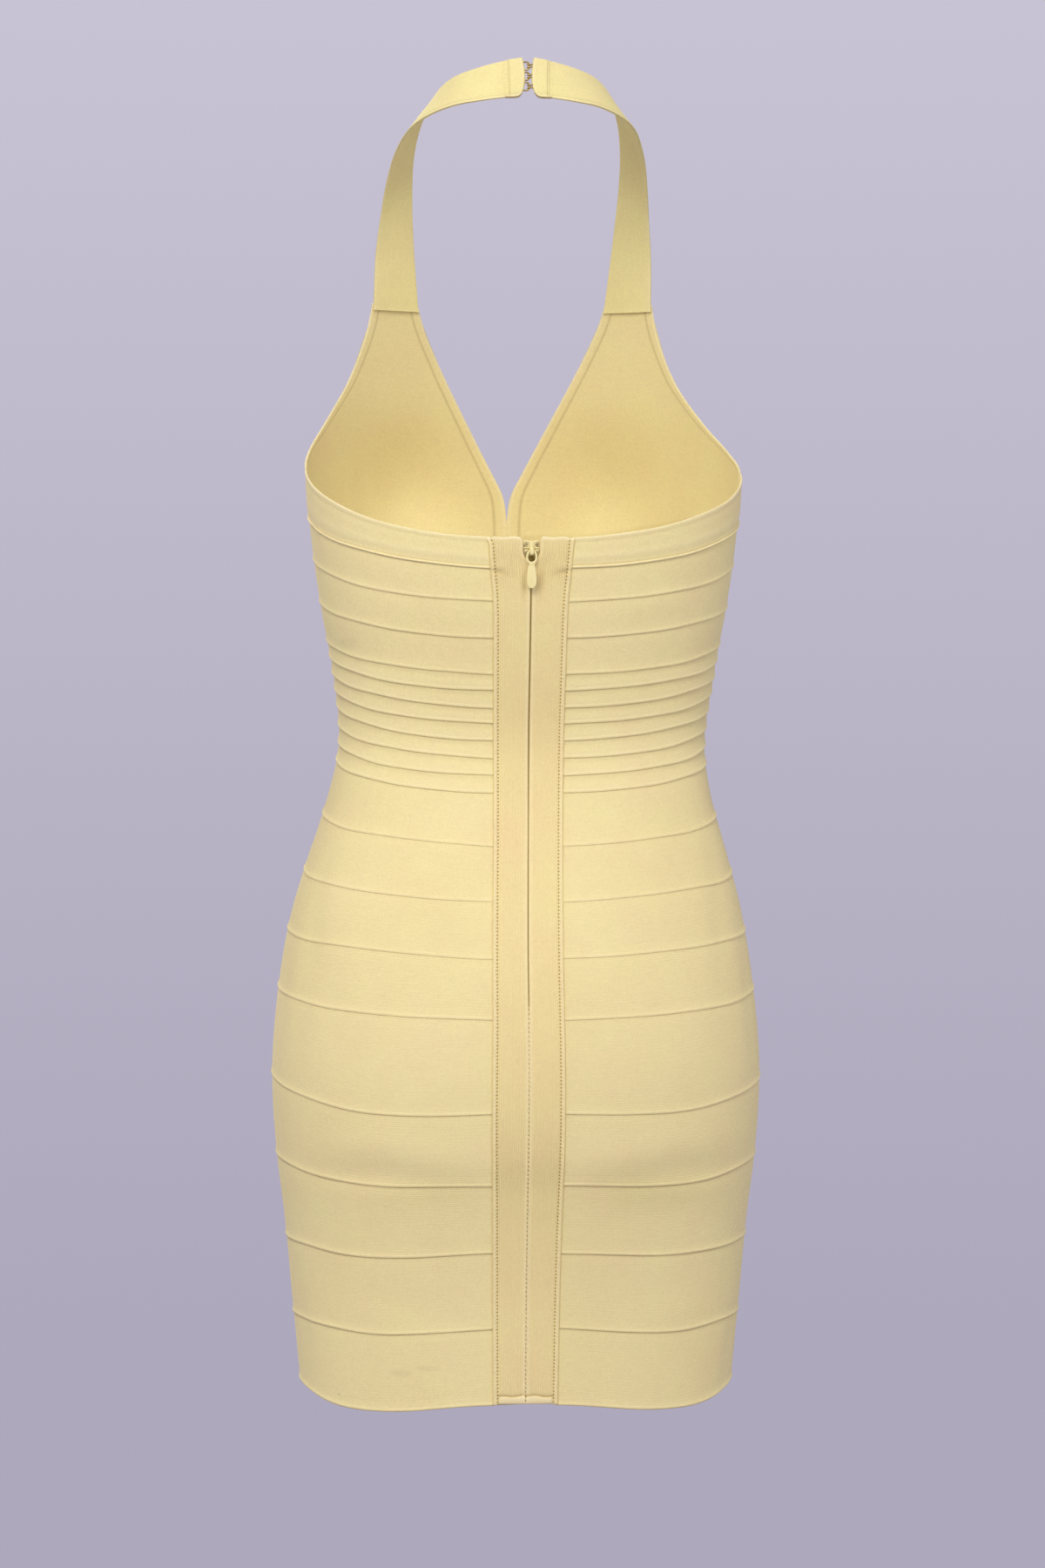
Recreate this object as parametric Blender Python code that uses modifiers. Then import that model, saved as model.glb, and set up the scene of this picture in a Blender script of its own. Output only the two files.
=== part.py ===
"""Halter-neck bandage dress, worn shape, with a zip down the centre back.

Metres, +Z up. The wearer faces -Y, so the zip side looks along +Y, and the wearer's
left is +X. The origin is the nape: the inner face of the neck strap at centre back.
Tables are in millimetres. Each cloth piece is a wall built on one figure surface:
every point has a turn (the angle round the body from centre back), a height and a
lift (the distance out from the inner face of the cloth).
"""

import math
from collections import namedtuple

import bmesh
import bpy
from mathutils import Vector

MM = 0.001
GAP = 0.3                       # between neighbouring pieces, in mm
QUARTER = math.pi / 2
HALF = math.pi

# ---------------------------------------------------------------- driving sizes

# The figure at the cloth's inner face: one row a level, from under the arm to the hem.
Level = namedtuple("Level", "z half_width back front squareness")
FIGURE = (
    Level(-130, 137.0, 20, -158, 2.30),
    Level(-190, 141.5, 24, -180, 2.30),
    Level(-250, 144.0, 28, -193, 2.30),
    Level(-295, 140.5, 29, -195, 2.30),
    Level(-345, 133.5, 23, -181, 2.28),
    Level(-385, 126.0, 14, -168, 2.24),
    Level(-433, 120.5, 4, -166, 2.20),
    Level(-470, 126.5, 8, -175, 2.20),
    Level(-510, 138.5, 19, -184, 2.20),
    Level(-550, 149.3, 31, -188, 2.20),
    Level(-600, 157.2, 42, -183, 2.20),
    Level(-650, 160.8, 46, -174, 2.20),
    Level(-700, 158.3, 41, -166, 2.20),
    Level(-750, 152.3, 29, -160, 2.20),
    Level(-800, 147.6, 20, -155, 2.20),
    Level(-870, 140.8, 14, -150, 2.20),
)
SIDE_SEAM_Y = -70.0             # the side seams hang plumb in this plane
HIP_SHIFT = 2.8                 # the hips lean this far to the wearer's left
HIP_SHIFT_FROM = -430.0
HIP_SHIFT_TO = -590.0
SIDE_SHIFT = -2.4               # the trunk's sides lean the other way, between these heights
SIDE_SHIFT_TOP = -170.0
SIDE_SHIFT_HIGH = -250.0
SIDE_SHIFT_LOW = -385.0
SIDE_SHIFT_END = -480.0
BUST_OUT = 20.0                 # fullness of each cup beyond the figure's front
BUST_X = 74.0
BUST_Z = -262.0
BUST_WIDE = 44.0
BUST_TALL = 46.0
BUST_FADE = 6                   # how sharply the cups die away at the side seams

# Horizontal seams, top to bottom. Each curves from its centre-back height up to the
# side seam, with a dip either side of the zip over the seat, and on to centre front.
Seam = namedtuple("Seam", "back side_rise seat_dip front")
TOP_RIM = Seam(-303.0, 50, 0, -262)
SEAMS = (
    TOP_RIM,
    Seam(-323.0, 37, 0, -296),
    Seam(-344.5, 31, 0, -320),
    Seam(-367.6, 26, 0, -347),
    Seam(-391.0, 24, 0, -373),
    Seam(-401.5, 24, 0, -383),
    Seam(-412.5, 24, 0, -394),
    Seam(-423.0, 24, 0, -404),
    Seam(-434.0, 24, 0, -415),
    Seam(-445.5, 23, 0, -427),
    Seam(-457.0, 23, 0, -438),
    Seam(-468.0, 22, 0, -450),
    Seam(-503.0, 22, -2, -485),
    Seam(-538.5, 20, -2, -522),
    Seam(-574.5, 17, -2, -560),
    Seam(-613.5, 18, 0, -598),
    Seam(-673.0, 20, 6, -656),
    Seam(-719.5, 14, 6, -708),
    Seam(-764.0, 4, 6, -760),
    Seam(-813.0, 2, 8, -811),
    Seam(-863.0, 0, 8, -862),
)
FRONT_SWEEP = 0.6               # how far a seam keeps its slope past the side seam
HEM_LIFT = 8.0                  # the hem lifts this much at the side seams
HEM_LIFT_WIDE = math.radians(20)
WAIST_FIRST = 4                 # seams 4 to 11 bound the seven narrow waist strips
WAIST_LAST = 11
BACK_STEPS = 10                 # sections round each back half
FRONT_STEPS = 18                # sections round the front

# How a band stands off the figure, from its top edge to its bottom edge. Each band
# starts low, behind the band above, swells, and ends in a rolled lower edge.
Profile = namedtuple("Profile", "share offset lift")
BAND_PROFILE = (
    Profile(0.0, 0.0, 1.00),
    Profile(0.5, 0.0, 1.25),
    Profile(1.0, -5.0, 1.60),
    Profile(1.0, -1.2, 2.20),
    Profile(1.0, 0.0, 1.70),
)
STRIP_PROFILE = (
    Profile(0.0, 0.0, 1.00),
    Profile(0.45, 0.0, 1.50),
    Profile(1.0, -1.4, 2.30),
    Profile(1.0, 0.0, 1.70),
)
RIM_PROFILE = (
    Profile(0.0, 0.0, 1.40),
    Profile(0.0, 1.5, 2.00),
    Profile(0.5, 0.0, 1.60),
    Profile(1.0, -3.2, 1.50),
    Profile(1.0, -2.4, 2.50),
    Profile(1.0, -0.6, 2.50),
    Profile(1.0, 0.0, 1.80),
)
BAND_LINING_SHARES = (1.0, 0.5, 0.0)

# The two ribbed strips either side of the zip: half the width of the pair by height.
PlacketLevel = namedtuple("PlacketLevel", "z half_width")
PLACKET = (
    PlacketLevel(-302, 27.8),
    PlacketLevel(-322, 26.2),
    PlacketLevel(-343, 24.2),
    PlacketLevel(-390, 23.3),
    PlacketLevel(-440, 22.7),
    PlacketLevel(-500, 22.4),
    PlacketLevel(-600, 22.8),
    PlacketLevel(-680, 23.4),
    PlacketLevel(-760, 22.0),
    PlacketLevel(-864, 20.8),
)
PLACKET_TOP = -302.5
PLACKET_HEM = -862.3
PLACKET_STEPS = 26
# A strip's section: share of its width from the zip, then mm toward the side, then lift.
StripCorner = namedtuple("StripCorner", "share offset lift")
PLACKET_PROFILE = (
    StripCorner(0.0, 0.0, 0.0),
    StripCorner(0.5, 0.0, 0.0),
    StripCorner(1.0, 0.0, 0.0),
    StripCorner(1.0, 0.0, 2.1),
    StripCorner(1.0, -1.3, 2.8),
    StripCorner(0.5, 0.0, 2.6),
    StripCorner(0.0, 0.9, 2.7),
    StripCorner(0.0, 0.0, 2.0),
)
NOTCH_HALF = 5.2                # the strips part here round the zip slider
NOTCH_DEEP = 9.0
NOTCH_CLOSED = 19.5

ZIP_TAPE_HALF = 7.0
ZIP_TAPE_WALL = 1.0
ZIP_TAPE_TOP = -305.0
ZIP_TAPE_END = -604.0
ZIP_TAPE_BEHIND = 0.5           # below the strips' inner face

# The front halter pieces: neck edge and armhole edge, rung by rung up to the strap.
Rung = namedtuple("Rung", "neck_x neck_z arm_x arm_z")
AT_SIDE = None                  # the armhole end of this rung is on the side seam
HALTER = (
    Rung(0.15, None, AT_SIDE, None),
    Rung(0.15, -279, AT_SIDE, -269),
    Rung(3.0, -262, AT_SIDE, -253.2),
    Rung(11.0, -246, 141, -239),
    Rung(20.5, -228, 132, -223),
    Rung(30.5, -209, 121, -205),
    Rung(41.0, -189, 111, -187),
    Rung(51.0, -169, 103, -167),
    Rung(59.0, -151, 98, -151),
    Rung(64.0, -135, 95, -135),
)
HALTER_ACROSS = 12
HALTER_SEAM_RUNGS = 3           # the first rungs still follow the seam's curve
HALTER_WALL = 1.6

# The neck strap: inner and outer edge of each half, from the nape to the front.
StrapRung = namedtuple("StrapRung", "ix iy iz ox oy oz")
STRAP = (
    StrapRung(3.7, -0.5, 10.2, 3.7, 2.5, -15.0),
    StrapRung(18.0, -3.0, 7.6, 17.0, 3.0, -16.6),
    StrapRung(33.0, -11.0, 4.2, 31.5, 0.0, -18.4),
    StrapRung(45.0, -23.0, 0.8, 47.5, -9.0, -20.4),
    StrapRung(54.0, -39.0, -5.0, 63.0, -25.0, -24.8),
    StrapRung(61.0, -57.0, -14.5, 74.5, -47.0, -31.0),
    StrapRung(66.0, -76.0, -25.5, 82.0, -72.0, -42.5),
    StrapRung(69.0, -95.0, -41.0, 87.0, -96.0, -58.5),
    StrapRung(69.5, -115.0, -64.0, 90.5, -116.0, -79.0),
    StrapRung(67.5, -135.0, -96.0, 93.5, -130.0, -105.0),
)
STRAP_STEPS = 26
STRAP_WALL = 1.5
STRAP_CROWN = 0.3               # the strap's middle stands this far above its edges
STRAP_INSIDE = Vector((0, -75, -160))
TAB_LONG = 9.5                  # folded and stitched end of each half
TAB_WALL = 2.5
TAB_STEP = 0.5

# Hooks and eyes between the two strap ends. A hook's wire runs over the eye's bar,
# round its end and back under it: reach past the bar, and height above it.
HOOK_HEIGHTS = (4.8, -2.0, -8.8)
HOOK_WIRE = 0.40
HOOK_Y = 2.0
HOOK_Y_SLOPE = 0.12             # the strap ends lean, so lower hooks sit further out
EYE_HALF = 2.3
EYE_REACH = 4.4
EYE_STEPS = 6
HookBend = namedtuple("HookBend", "past above")
HOOK_SHANK_ABOVE = 0.3
HOOK_BENDS = (
    HookBend(-1.2, 0.9),
    HookBend(0.0, 1.25),
    HookBend(1.1, 0.9),
    HookBend(1.45, 0.0),
    HookBend(1.1, -0.9),
    HookBend(0.1, -1.15),
)

# Zip slider and pull tab.
SLIDER_Z = -310.4
SLIDER_WIDE = 5.8
SLIDER_TALL = 9.4
SLIDER_BASE = 0.3               # lift of the slider's back face
SLIDER_THICK = 2.4
SLIDER_ROUND = 0.7
PIVOT_ABOVE = 1.3               # pull axis above the slider's outer face
PIVOT_BELOW = 1.6               # and below the slider's middle
BRIDGE_HALF_WIDE = 1.1
BRIDGE_WALL = 0.8
BRIDGE_GAP = 1.1                # between the pull's axis and the bridge's underside
BRIDGE_REACH = 1.7              # half the bridge's inner length
BRIDGE_SUNK = 0.6               # its feet go this far into the slider
BRIDGE_FLOOR = 0.05
BRIDGE_CORNER = 0.5
PULL_THICK = 1.1
RING_HALF = 3.6
RING_LONG = 8.6
RING_BAR = 1.3
RING_SQUARE = 0.8               # below 1, the ring is squarer than an ellipse
RING_STEPS = 16
RING_OPEN = 0.84                # share of the ring's outline above its join to the grip
NECK_HALF = 1.85                # the collar between ring and grip
TEARDROP_START = 9.6
TEARDROP_END = 23.8
TEARDROP_HALF = 3.25
TEARDROP_NARROW = 0.32          # share of its width that the grip loses at the collar
TEARDROP_TAPER = 3.0            # how soon it widens below the collar
TEARDROP_BLUNT = 8              # how blunt its round end is
TEARDROP_STEPS = 10

YELLOW = (0.80, 0.66, 0.33, 1)
PLACKET_YELLOW = (0.76, 0.60, 0.29, 1)
BRASS = (0.52, 0.38, 0.13, 1)


# ---------------------------------------------------------------- small helpers

def smooth_value(rows, z, column):
    """Cubic through a table's rows, which run down from the highest z."""
    last = len(rows) - 1
    i = 0
    while i < last - 1 and z < rows[i + 1].z:
        i += 1

    def slope(k):
        a = rows[max(k - 1, 0)]
        b = rows[min(k + 1, last)]
        return (getattr(b, column) - getattr(a, column)) / (b.z - a.z)

    a, b = rows[i], rows[i + 1]
    step = b.z - a.z
    t = min(max((z - a.z) / step, 0.0), 1.0)
    t2, t3 = t * t, t * t * t
    return (
        (2 * t3 - 3 * t2 + 1) * getattr(a, column)
        + (t3 - 2 * t2 + t) * step * slope(i)
        + (3 * t2 - 2 * t3) * getattr(b, column)
        + (t3 - t2) * step * slope(i + 1)
    )


def through_points(points, t):
    """Point at share t of a smooth curve through the points."""
    last = len(points) - 1
    position = min(max(t, 0.0), 1.0) * last
    i = min(int(position), last - 1)
    f = position - i
    p0 = points[max(i - 1, 0)]
    p1, p2 = points[i], points[i + 1]
    p3 = points[min(i + 2, last)]
    return 0.5 * (
        2 * p1
        + (p2 - p0) * f
        + (2 * p0 - 5 * p1 + 4 * p2 - p3) * f * f
        + (3 * p1 - p0 - 3 * p2 + p3) * f ** 3
    )


def mix(a, b, share):
    return a + (b - a) * share


def ease(share):
    share = min(max(share, 0.0), 1.0)
    return share * share * (3 - 2 * share)


# ---------------------------------------------------------------- figure surface

def figure_axes(z):
    """Half width, back depth and front depth from the side seam, and squareness."""
    return (
        smooth_value(FIGURE, z, "half_width"),
        smooth_value(FIGURE, z, "back") - SIDE_SEAM_Y,
        SIDE_SEAM_Y - smooth_value(FIGURE, z, "front"),
        smooth_value(FIGURE, z, "squareness"),
    )


def centre_x(z):
    """How far the figure's middle is to the wearer's left."""
    return HIP_SHIFT * ease((HIP_SHIFT_FROM - z) / (HIP_SHIFT_FROM - HIP_SHIFT_TO))


def side_shift(z):
    """How far both sides of the trunk are to the wearer's left."""
    above = ease((SIDE_SHIFT_TOP - z) / (SIDE_SHIFT_TOP - SIDE_SHIFT_HIGH))
    below = ease((z - SIDE_SHIFT_END) / (SIDE_SHIFT_LOW - SIDE_SHIFT_END))
    return SIDE_SHIFT * above * below


def figure_point(turn, z):
    """Inner face of the cloth, in mm. Turn 0 is centre back, a quarter is the left side."""
    half, back_deep, front_deep, square = figure_axes(z)
    s, c = math.sin(turn), math.cos(turn)
    x = math.copysign(half * abs(s) ** (2 / square), s)
    deep = back_deep if c >= 0 else front_deep
    y = SIDE_SEAM_Y + math.copysign(deep * abs(c) ** (2 / square), c)
    if c < 0:
        across = (abs(x) - BUST_X) / BUST_WIDE
        up = (z - BUST_Z) / BUST_TALL
        y -= BUST_OUT * math.exp(-across * across - up * up) * (1 - abs(s) ** BUST_FADE)
    return Vector((centre_x(z) + side_shift(z) * s * s + x, y, z))


def lifted(turn, z, lift):
    """A point that far out from the figure, in metres."""
    small = 0.01
    round_way = figure_point(turn + small, z) - figure_point(turn - small, z)
    up_way = figure_point(turn, z + 1.0) - figure_point(turn, z - 1.0)
    normal = up_way.cross(round_way).normalized()
    outward = figure_point(turn, z) - Vector((0, SIDE_SEAM_Y, z))
    if normal.dot(outward) < 0:
        normal.negate()
    return (figure_point(turn, z) + normal * lift) * MM


def turn_at_x(x, z, front=False):
    """The turn at which the figure is x from its middle, x >= 0."""
    half, _, _, square = figure_axes(z)
    turn = math.asin(min((x / half) ** (square / 2), 1.0))
    return HALF - turn if front else turn


def side_turn(z, front=False):
    """The turn half a seam gap short of the side seam."""
    _, back_deep, front_deep, square = figure_axes(z)
    deep = front_deep if front else back_deep
    turn = math.acos((GAP / 2 / deep) ** (square / 2))
    return HALF - turn if front else turn


def seam_height(seam, turn):
    """Height of a horizontal seam at a turn between 0 (back) and pi (front)."""
    turn = abs(turn)
    lift = 0.0
    if seam is SEAMS[-1]:
        lift = HEM_LIFT * math.exp(-((turn - QUARTER) / HEM_LIFT_WIDE) ** 2)
    side = seam.back + seam.side_rise
    if turn <= QUARTER:
        dip = math.sin(2 * turn) ** 2 * math.cos(turn)
        return lift + seam.back + seam.side_rise * (1 - math.cos(turn)) - seam.seat_dip * dip
    t = min((turn - QUARTER) / QUARTER, 1.0)
    sweep = seam.side_rise * QUARTER * FRONT_SWEEP * t * (1 - t) ** 2
    return lift + side + sweep + (seam.front - side) * t * t * (3 - 2 * t)


# ---------------------------------------------------------------- objects

def new_material(name, colour, roughness, metallic=0.0):
    material = bpy.data.materials.new(name)
    material.use_nodes = True
    shader = material.node_tree.nodes["Principled BSDF"]
    shader.inputs["Base Color"].default_value = colour
    shader.inputs["Roughness"].default_value = roughness
    shader.inputs["Metallic"].default_value = metallic
    return material


def finish(obj, collection, colour, roughness=0.85, metallic=0.0, sharp=40):
    """Collection, material and shading for one object."""
    if obj.name not in collection.objects:
        collection.objects.link(obj)
    obj.data.materials.clear()
    obj.data.materials.append(new_material(obj.name, colour, roughness, metallic))
    if obj.type == "MESH":
        obj.data.shade_smooth()
        obj.data.set_sharp_from_angle(angle=math.radians(sharp))
    return obj


def loft(name, sections):
    """One closed body through equal closed sections, with flat ends."""
    mesh = bpy.data.meshes.new(name)
    bm = bmesh.new()
    rings = [[bm.verts.new(point) for point in section] for section in sections]
    count = len(rings[0])
    for ring, following in zip(rings, rings[1:]):
        for i in range(count):
            j = (i + 1) % count
            bm.faces.new((ring[i], ring[j], following[j], following[i]))
    bm.faces.new(rings[0])
    bm.faces.new(list(reversed(rings[-1])))
    bmesh.ops.recalc_face_normals(bm, faces=bm.faces)
    bm.to_mesh(mesh)
    bm.free()
    return bpy.data.objects.new(name, mesh)


def sheet(name, rows):
    """An open grid through equal rows of points."""
    mesh = bpy.data.meshes.new(name)
    bm = bmesh.new()
    grid = [[bm.verts.new(point) for point in row] for row in rows]
    for lower, upper in zip(grid, grid[1:]):
        for i in range(len(lower) - 1):
            bm.faces.new((lower[i], lower[i + 1], upper[i + 1], upper[i]))
    bm.to_mesh(mesh)
    bm.free()
    return bpy.data.objects.new(name, mesh)


def mesh_from_curve(curve_obj):
    """A welded mesh object in place of a curve."""
    depsgraph = bpy.context.evaluated_depsgraph_get()
    mesh = bpy.data.meshes.new_from_object(curve_obj.evaluated_get(depsgraph))
    bm = bmesh.new()
    bm.from_mesh(mesh)
    bmesh.ops.remove_doubles(bm, verts=bm.verts, dist=0.00001)
    bmesh.ops.recalc_face_normals(bm, faces=bm.faces)
    bm.to_mesh(mesh)
    bm.free()
    name = curve_obj.name
    obj = bpy.data.objects.new(name, mesh)
    obj.matrix_world = curve_obj.matrix_world.copy()
    bpy.data.objects.remove(curve_obj)
    obj.name = name
    return obj


# ---------------------------------------------------------------- bands

def placket_half(z):
    top, hem = PLACKET[0].z, PLACKET[-1].z
    return smooth_value(PLACKET, min(max(z, hem), top), "half_width")


def band_section(strips, profile, spread, side):
    """One cross-section of a band, or of several joined strips, at a share round it.

    spread(z) gives the turn for a nominal height; side is 1 for left, -1 for right.
    """
    def place(upper, lower, share, offset, lift):
        nominal = mix(upper.back, lower.back, share) - offset
        turn = spread(nominal)
        top = seam_height(upper, turn) - GAP / 2
        bottom = seam_height(lower, turn) + GAP / 2
        height = mix(top, bottom, share) - offset
        return lifted(side * turn, height, lift)

    outer = []
    for upper, lower in strips:
        for row in profile:
            outer.append(place(upper, lower, row.share, row.offset, row.lift))
    inner = []
    for upper, lower in reversed(strips[:: max(len(strips) // 3, 1)]):
        for share in BAND_LINING_SHARES if len(strips) == 1 else (1.0,):
            inner.append(place(upper, lower, share, 0.0, 0.0))
    if len(strips) > 1:
        inner.insert(0, place(*strips[-1], 1.0, 0.0, 0.0))
        inner.append(place(*strips[0], 0.0, 0.0, 0.0))
    return outer + inner


def back_band(name, strips, profile, side):
    """A band of the back, from the placket's edge to the side seam."""
    def spread_at(t):
        def spread(z):
            start = turn_at_x(placket_half(z) + GAP, z)
            return mix(start, side_turn(z), t)
        return spread

    sections = []
    for step in range(BACK_STEPS + 1):
        sections.append(band_section(strips, profile, spread_at(step / BACK_STEPS), side))
    return loft(name, sections)


def front_band(name, strips, profile):
    """A band of the front, from side seam to side seam."""
    def spread_at(t):
        def spread(z):
            return mix(side_turn(z, front=True), HALF, t)
        return spread

    half = FRONT_STEPS // 2
    sections = [band_section(strips, profile, spread_at(k / half), 1) for k in range(half)]
    sections += [
        band_section(strips, profile, spread_at(k / half), -1) for k in range(half, -1, -1)
    ]
    return loft(name, sections)


def make_bands(collection):
    """Nineteen rows below the top edge; the seven waist strips of a panel are joined."""
    for row in range(1, len(SEAMS)):
        waist = WAIST_FIRST < row <= WAIST_LAST
        if waist and row > WAIST_FIRST + 1:
            continue
        if waist:
            label = "waist_strips"
            strips = [(SEAMS[k], SEAMS[k + 1]) for k in range(WAIST_FIRST, WAIST_LAST)]
            profile = STRIP_PROFILE
        else:
            label = "band_%02d" % row
            strips = [(SEAMS[row - 1], SEAMS[row])]
            profile = RIM_PROFILE if row == 1 else BAND_PROFILE
        for side, word in ((1, "left"), (-1, "right")):
            obj = back_band("%s_back_%s" % (label, word), strips, profile, side)
            finish(obj, collection, YELLOW)
        if row > 1:
            finish(front_band("%s_front" % label, strips, profile), collection, YELLOW)


# ---------------------------------------------------------------- zip placket

def notch_half(z):
    """Half the gap between the strips: open at the slider, closed below it."""
    down = PLACKET_TOP - z
    if down <= NOTCH_DEEP:
        return NOTCH_HALF
    share = min((down - NOTCH_DEEP) / (NOTCH_CLOSED - NOTCH_DEEP), 1.0)
    return mix(NOTCH_HALF, GAP / 2, share)


def placket_levels():
    levels = [PLACKET_TOP, PLACKET_TOP - NOTCH_DEEP / 2, PLACKET_TOP - NOTCH_DEEP]
    start = PLACKET_TOP - NOTCH_CLOSED
    for step in range(PLACKET_STEPS + 1):
        levels.append(mix(start, PLACKET_HEM, step / PLACKET_STEPS))
    return levels


def make_placket(collection):
    for side, word in ((1, "left"), (-1, "right")):
        sections = []
        for z in placket_levels():
            section = []
            for corner in PLACKET_PROFILE:
                x = mix(notch_half(z), placket_half(z), corner.share) + corner.offset
                section.append(lifted(side * turn_at_x(x, z), z, corner.lift))
            sections.append(section)
        finish(loft("zip_strip_" + word, sections), collection, PLACKET_YELLOW)


def make_zip_tape(collection):
    levels = [z for z in placket_levels() if ZIP_TAPE_END < z < ZIP_TAPE_TOP]
    rows = []
    for z in [ZIP_TAPE_TOP] + levels + [ZIP_TAPE_END]:
        turn = turn_at_x(ZIP_TAPE_HALF, z)
        rows.append([lifted(turn * k, z, -ZIP_TAPE_BEHIND) for k in (-1, 0, 1)])
    obj = sheet("zip_tape", rows)
    wall = obj.modifiers.new("wall", "SOLIDIFY")
    wall.thickness = ZIP_TAPE_WALL * MM
    wall.offset = -1
    finish(obj, collection, PLACKET_YELLOW)


# ---------------------------------------------------------------- front halter

def halter_rows(side):
    """Points of one front piece, rung by rung, from its bottom seam to the strap."""
    seam = SEAMS[1]
    low = GAP / 2
    rows = []
    for level, rung in enumerate(HALTER):
        fade = max(1.0 - level / HALTER_SEAM_RUNGS, 0.0)
        neck_z = seam.front + low if rung.neck_z is None else rung.neck_z
        arm_z = seam.back + seam.side_rise + low if rung.arm_z is None else rung.arm_z
        neck_turn = turn_at_x(rung.neck_x, neck_z, front=True)
        if rung.arm_x is AT_SIDE:
            arm_turn = side_turn(arm_z, front=True)
        else:
            arm_turn = turn_at_x(rung.arm_x, arm_z, front=True)
        neck_seam = seam_height(seam, neck_turn)
        arm_seam = seam_height(seam, arm_turn)
        row = []
        for k in range(HALTER_ACROSS + 1):
            share = k / HALTER_ACROSS
            turn = mix(neck_turn, arm_turn, share)
            sag = seam_height(seam, turn) - mix(neck_seam, arm_seam, share)
            z = mix(neck_z, arm_z, share) + fade * sag
            row.append(lifted(side * turn, z, 0.0))
        rows.append(row)
    return rows


def make_halter(collection):
    for side, word in ((1, "left"), (-1, "right")):
        rows = halter_rows(side)
        if side > 0:
            rows = [list(reversed(row)) for row in rows]
        obj = sheet("halter_front_" + word, rows)
        wall = obj.modifiers.new("wall", "SOLIDIFY")
        wall.thickness = HALTER_WALL * MM
        wall.offset = 1
        finish(obj, collection, YELLOW)


# ---------------------------------------------------------------- neck strap

def strap_edges():
    """Inner and outer edge of the left half, ending just above the halter's top."""
    inner = [Vector((r.ix, r.iy, r.iz)) for r in STRAP]
    outer = [Vector((r.ox, r.oy, r.oz)) for r in STRAP]
    top = HALTER[-1]
    for points, x, z in ((inner, top.neck_x, top.neck_z), (outer, top.arm_x, top.arm_z)):
        points.append(figure_point(turn_at_x(x, z + GAP, front=True), z + GAP))
    return inner, outer


def strap_middle(inner, outer, share):
    return (through_points(inner, share) + through_points(outer, share)) / 2


def strap_shares(inner, outer):
    """Even shares along the strap, with two at the step where the folded tab ends."""
    length = 0.0
    previous = None
    tab_end = 0.0
    fine = 400
    for k in range(fine + 1):
        point = strap_middle(inner, outer, k / fine)
        if previous is not None:
            length += (point - previous).length
        if length <= TAB_LONG:
            tab_end = k / fine
        previous = point
    step = TAB_STEP / length
    shares = [0.0, tab_end / 2, tab_end, tab_end + step]
    start = tab_end + step
    for k in range(1, STRAP_STEPS + 1):
        shares.append(mix(start, 1.0, k / STRAP_STEPS))
    return shares, tab_end


def make_straps(collection):
    inner, outer = strap_edges()
    shares, tab_end = strap_shares(inner, outer)
    for side, word in ((1, "left"), (-1, "right")):
        sections = []
        for share in shares:
            a = through_points(inner, share)
            b = through_points(outer, share)
            along = strap_middle(inner, outer, share + 0.01)
            along -= strap_middle(inner, outer, share - 0.01)
            normal = along.cross(b - a).normalized()
            middle = (a + b) / 2
            if normal.dot(middle - STRAP_INSIDE) < 0:
                normal.negate()
            wall = TAB_WALL if share <= tab_end else STRAP_WALL
            points = (
                a,
                middle + normal * STRAP_CROWN / 2,
                b,
                b + normal * wall,
                middle + normal * (wall + STRAP_CROWN),
                a + normal * wall,
            )
            sections.append([Vector((side * p.x, p.y, p.z)) * MM for p in points])
        finish(loft("neck_strap_" + word, sections), collection, YELLOW)


# ---------------------------------------------------------------- hooks and eyes

def wire(name, points, radius, collection):
    curve = bpy.data.curves.new(name, "CURVE")
    curve.dimensions = "3D"
    curve.bevel_depth = radius * MM
    curve.bevel_resolution = 2
    curve.use_fill_caps = True
    spline = curve.splines.new("POLY")
    spline.points.add(len(points) - 1)
    for target, point in zip(spline.points, points):
        target.co = (point[0] * MM, point[1] * MM, point[2] * MM, 1)
    obj = bpy.data.objects.new(name, curve)
    finish(obj, collection, BRASS, roughness=0.35, metallic=1.0)


def make_hooks(collection):
    base = STRAP[0].ix - GAP
    bar = base - EYE_REACH
    for number, height in enumerate(HOOK_HEIGHTS, 1):
        y = HOOK_Y - height * HOOK_Y_SLOPE
        eye = [(base, y, height + EYE_HALF)]
        for k in range(EYE_STEPS + 1):
            a = QUARTER - k * HALF / EYE_STEPS
            x = bar + EYE_HALF - EYE_HALF * math.cos(a)
            eye.append((x, y, height + EYE_HALF * math.sin(a)))
        eye.append((base, y, height - EYE_HALF))
        wire("eye_%d" % number, eye, HOOK_WIRE, collection)
        hook = [(-base, y + HOOK_SHANK_ABOVE, height)]
        hook += [(bar + bend.past, y + bend.above, height) for bend in HOOK_BENDS]
        wire("hook_%d" % number, hook, HOOK_WIRE, collection)


# ---------------------------------------------------------------- slider and pull

def outline_curve(name, outlines, half_thick):
    """A flat plate from closed outlines, the first its edge and the others holes."""
    curve = bpy.data.curves.new(name, "CURVE")
    curve.dimensions = "2D"
    curve.fill_mode = "BOTH"
    curve.extrude = half_thick * MM
    for outline in outlines:
        spline = curve.splines.new("POLY")
        spline.points.add(len(outline) - 1)
        spline.use_cyclic_u = True
        for target, point in zip(spline.points, outline):
            target.co = (point[0] * MM, point[1] * MM, 0, 1)
    obj = bpy.data.objects.new(name, curve)
    bpy.context.scene.collection.objects.link(obj)
    bpy.context.view_layer.update()
    return obj


def slider_face():
    """y of the slider's outer face, in mm."""
    return figure_point(0, SLIDER_Z).y + SLIDER_BASE + SLIDER_THICK


def pull_pivot():
    return Vector((0, slider_face() + PIVOT_ABOVE, SLIDER_Z - PIVOT_BELOW))


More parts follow.
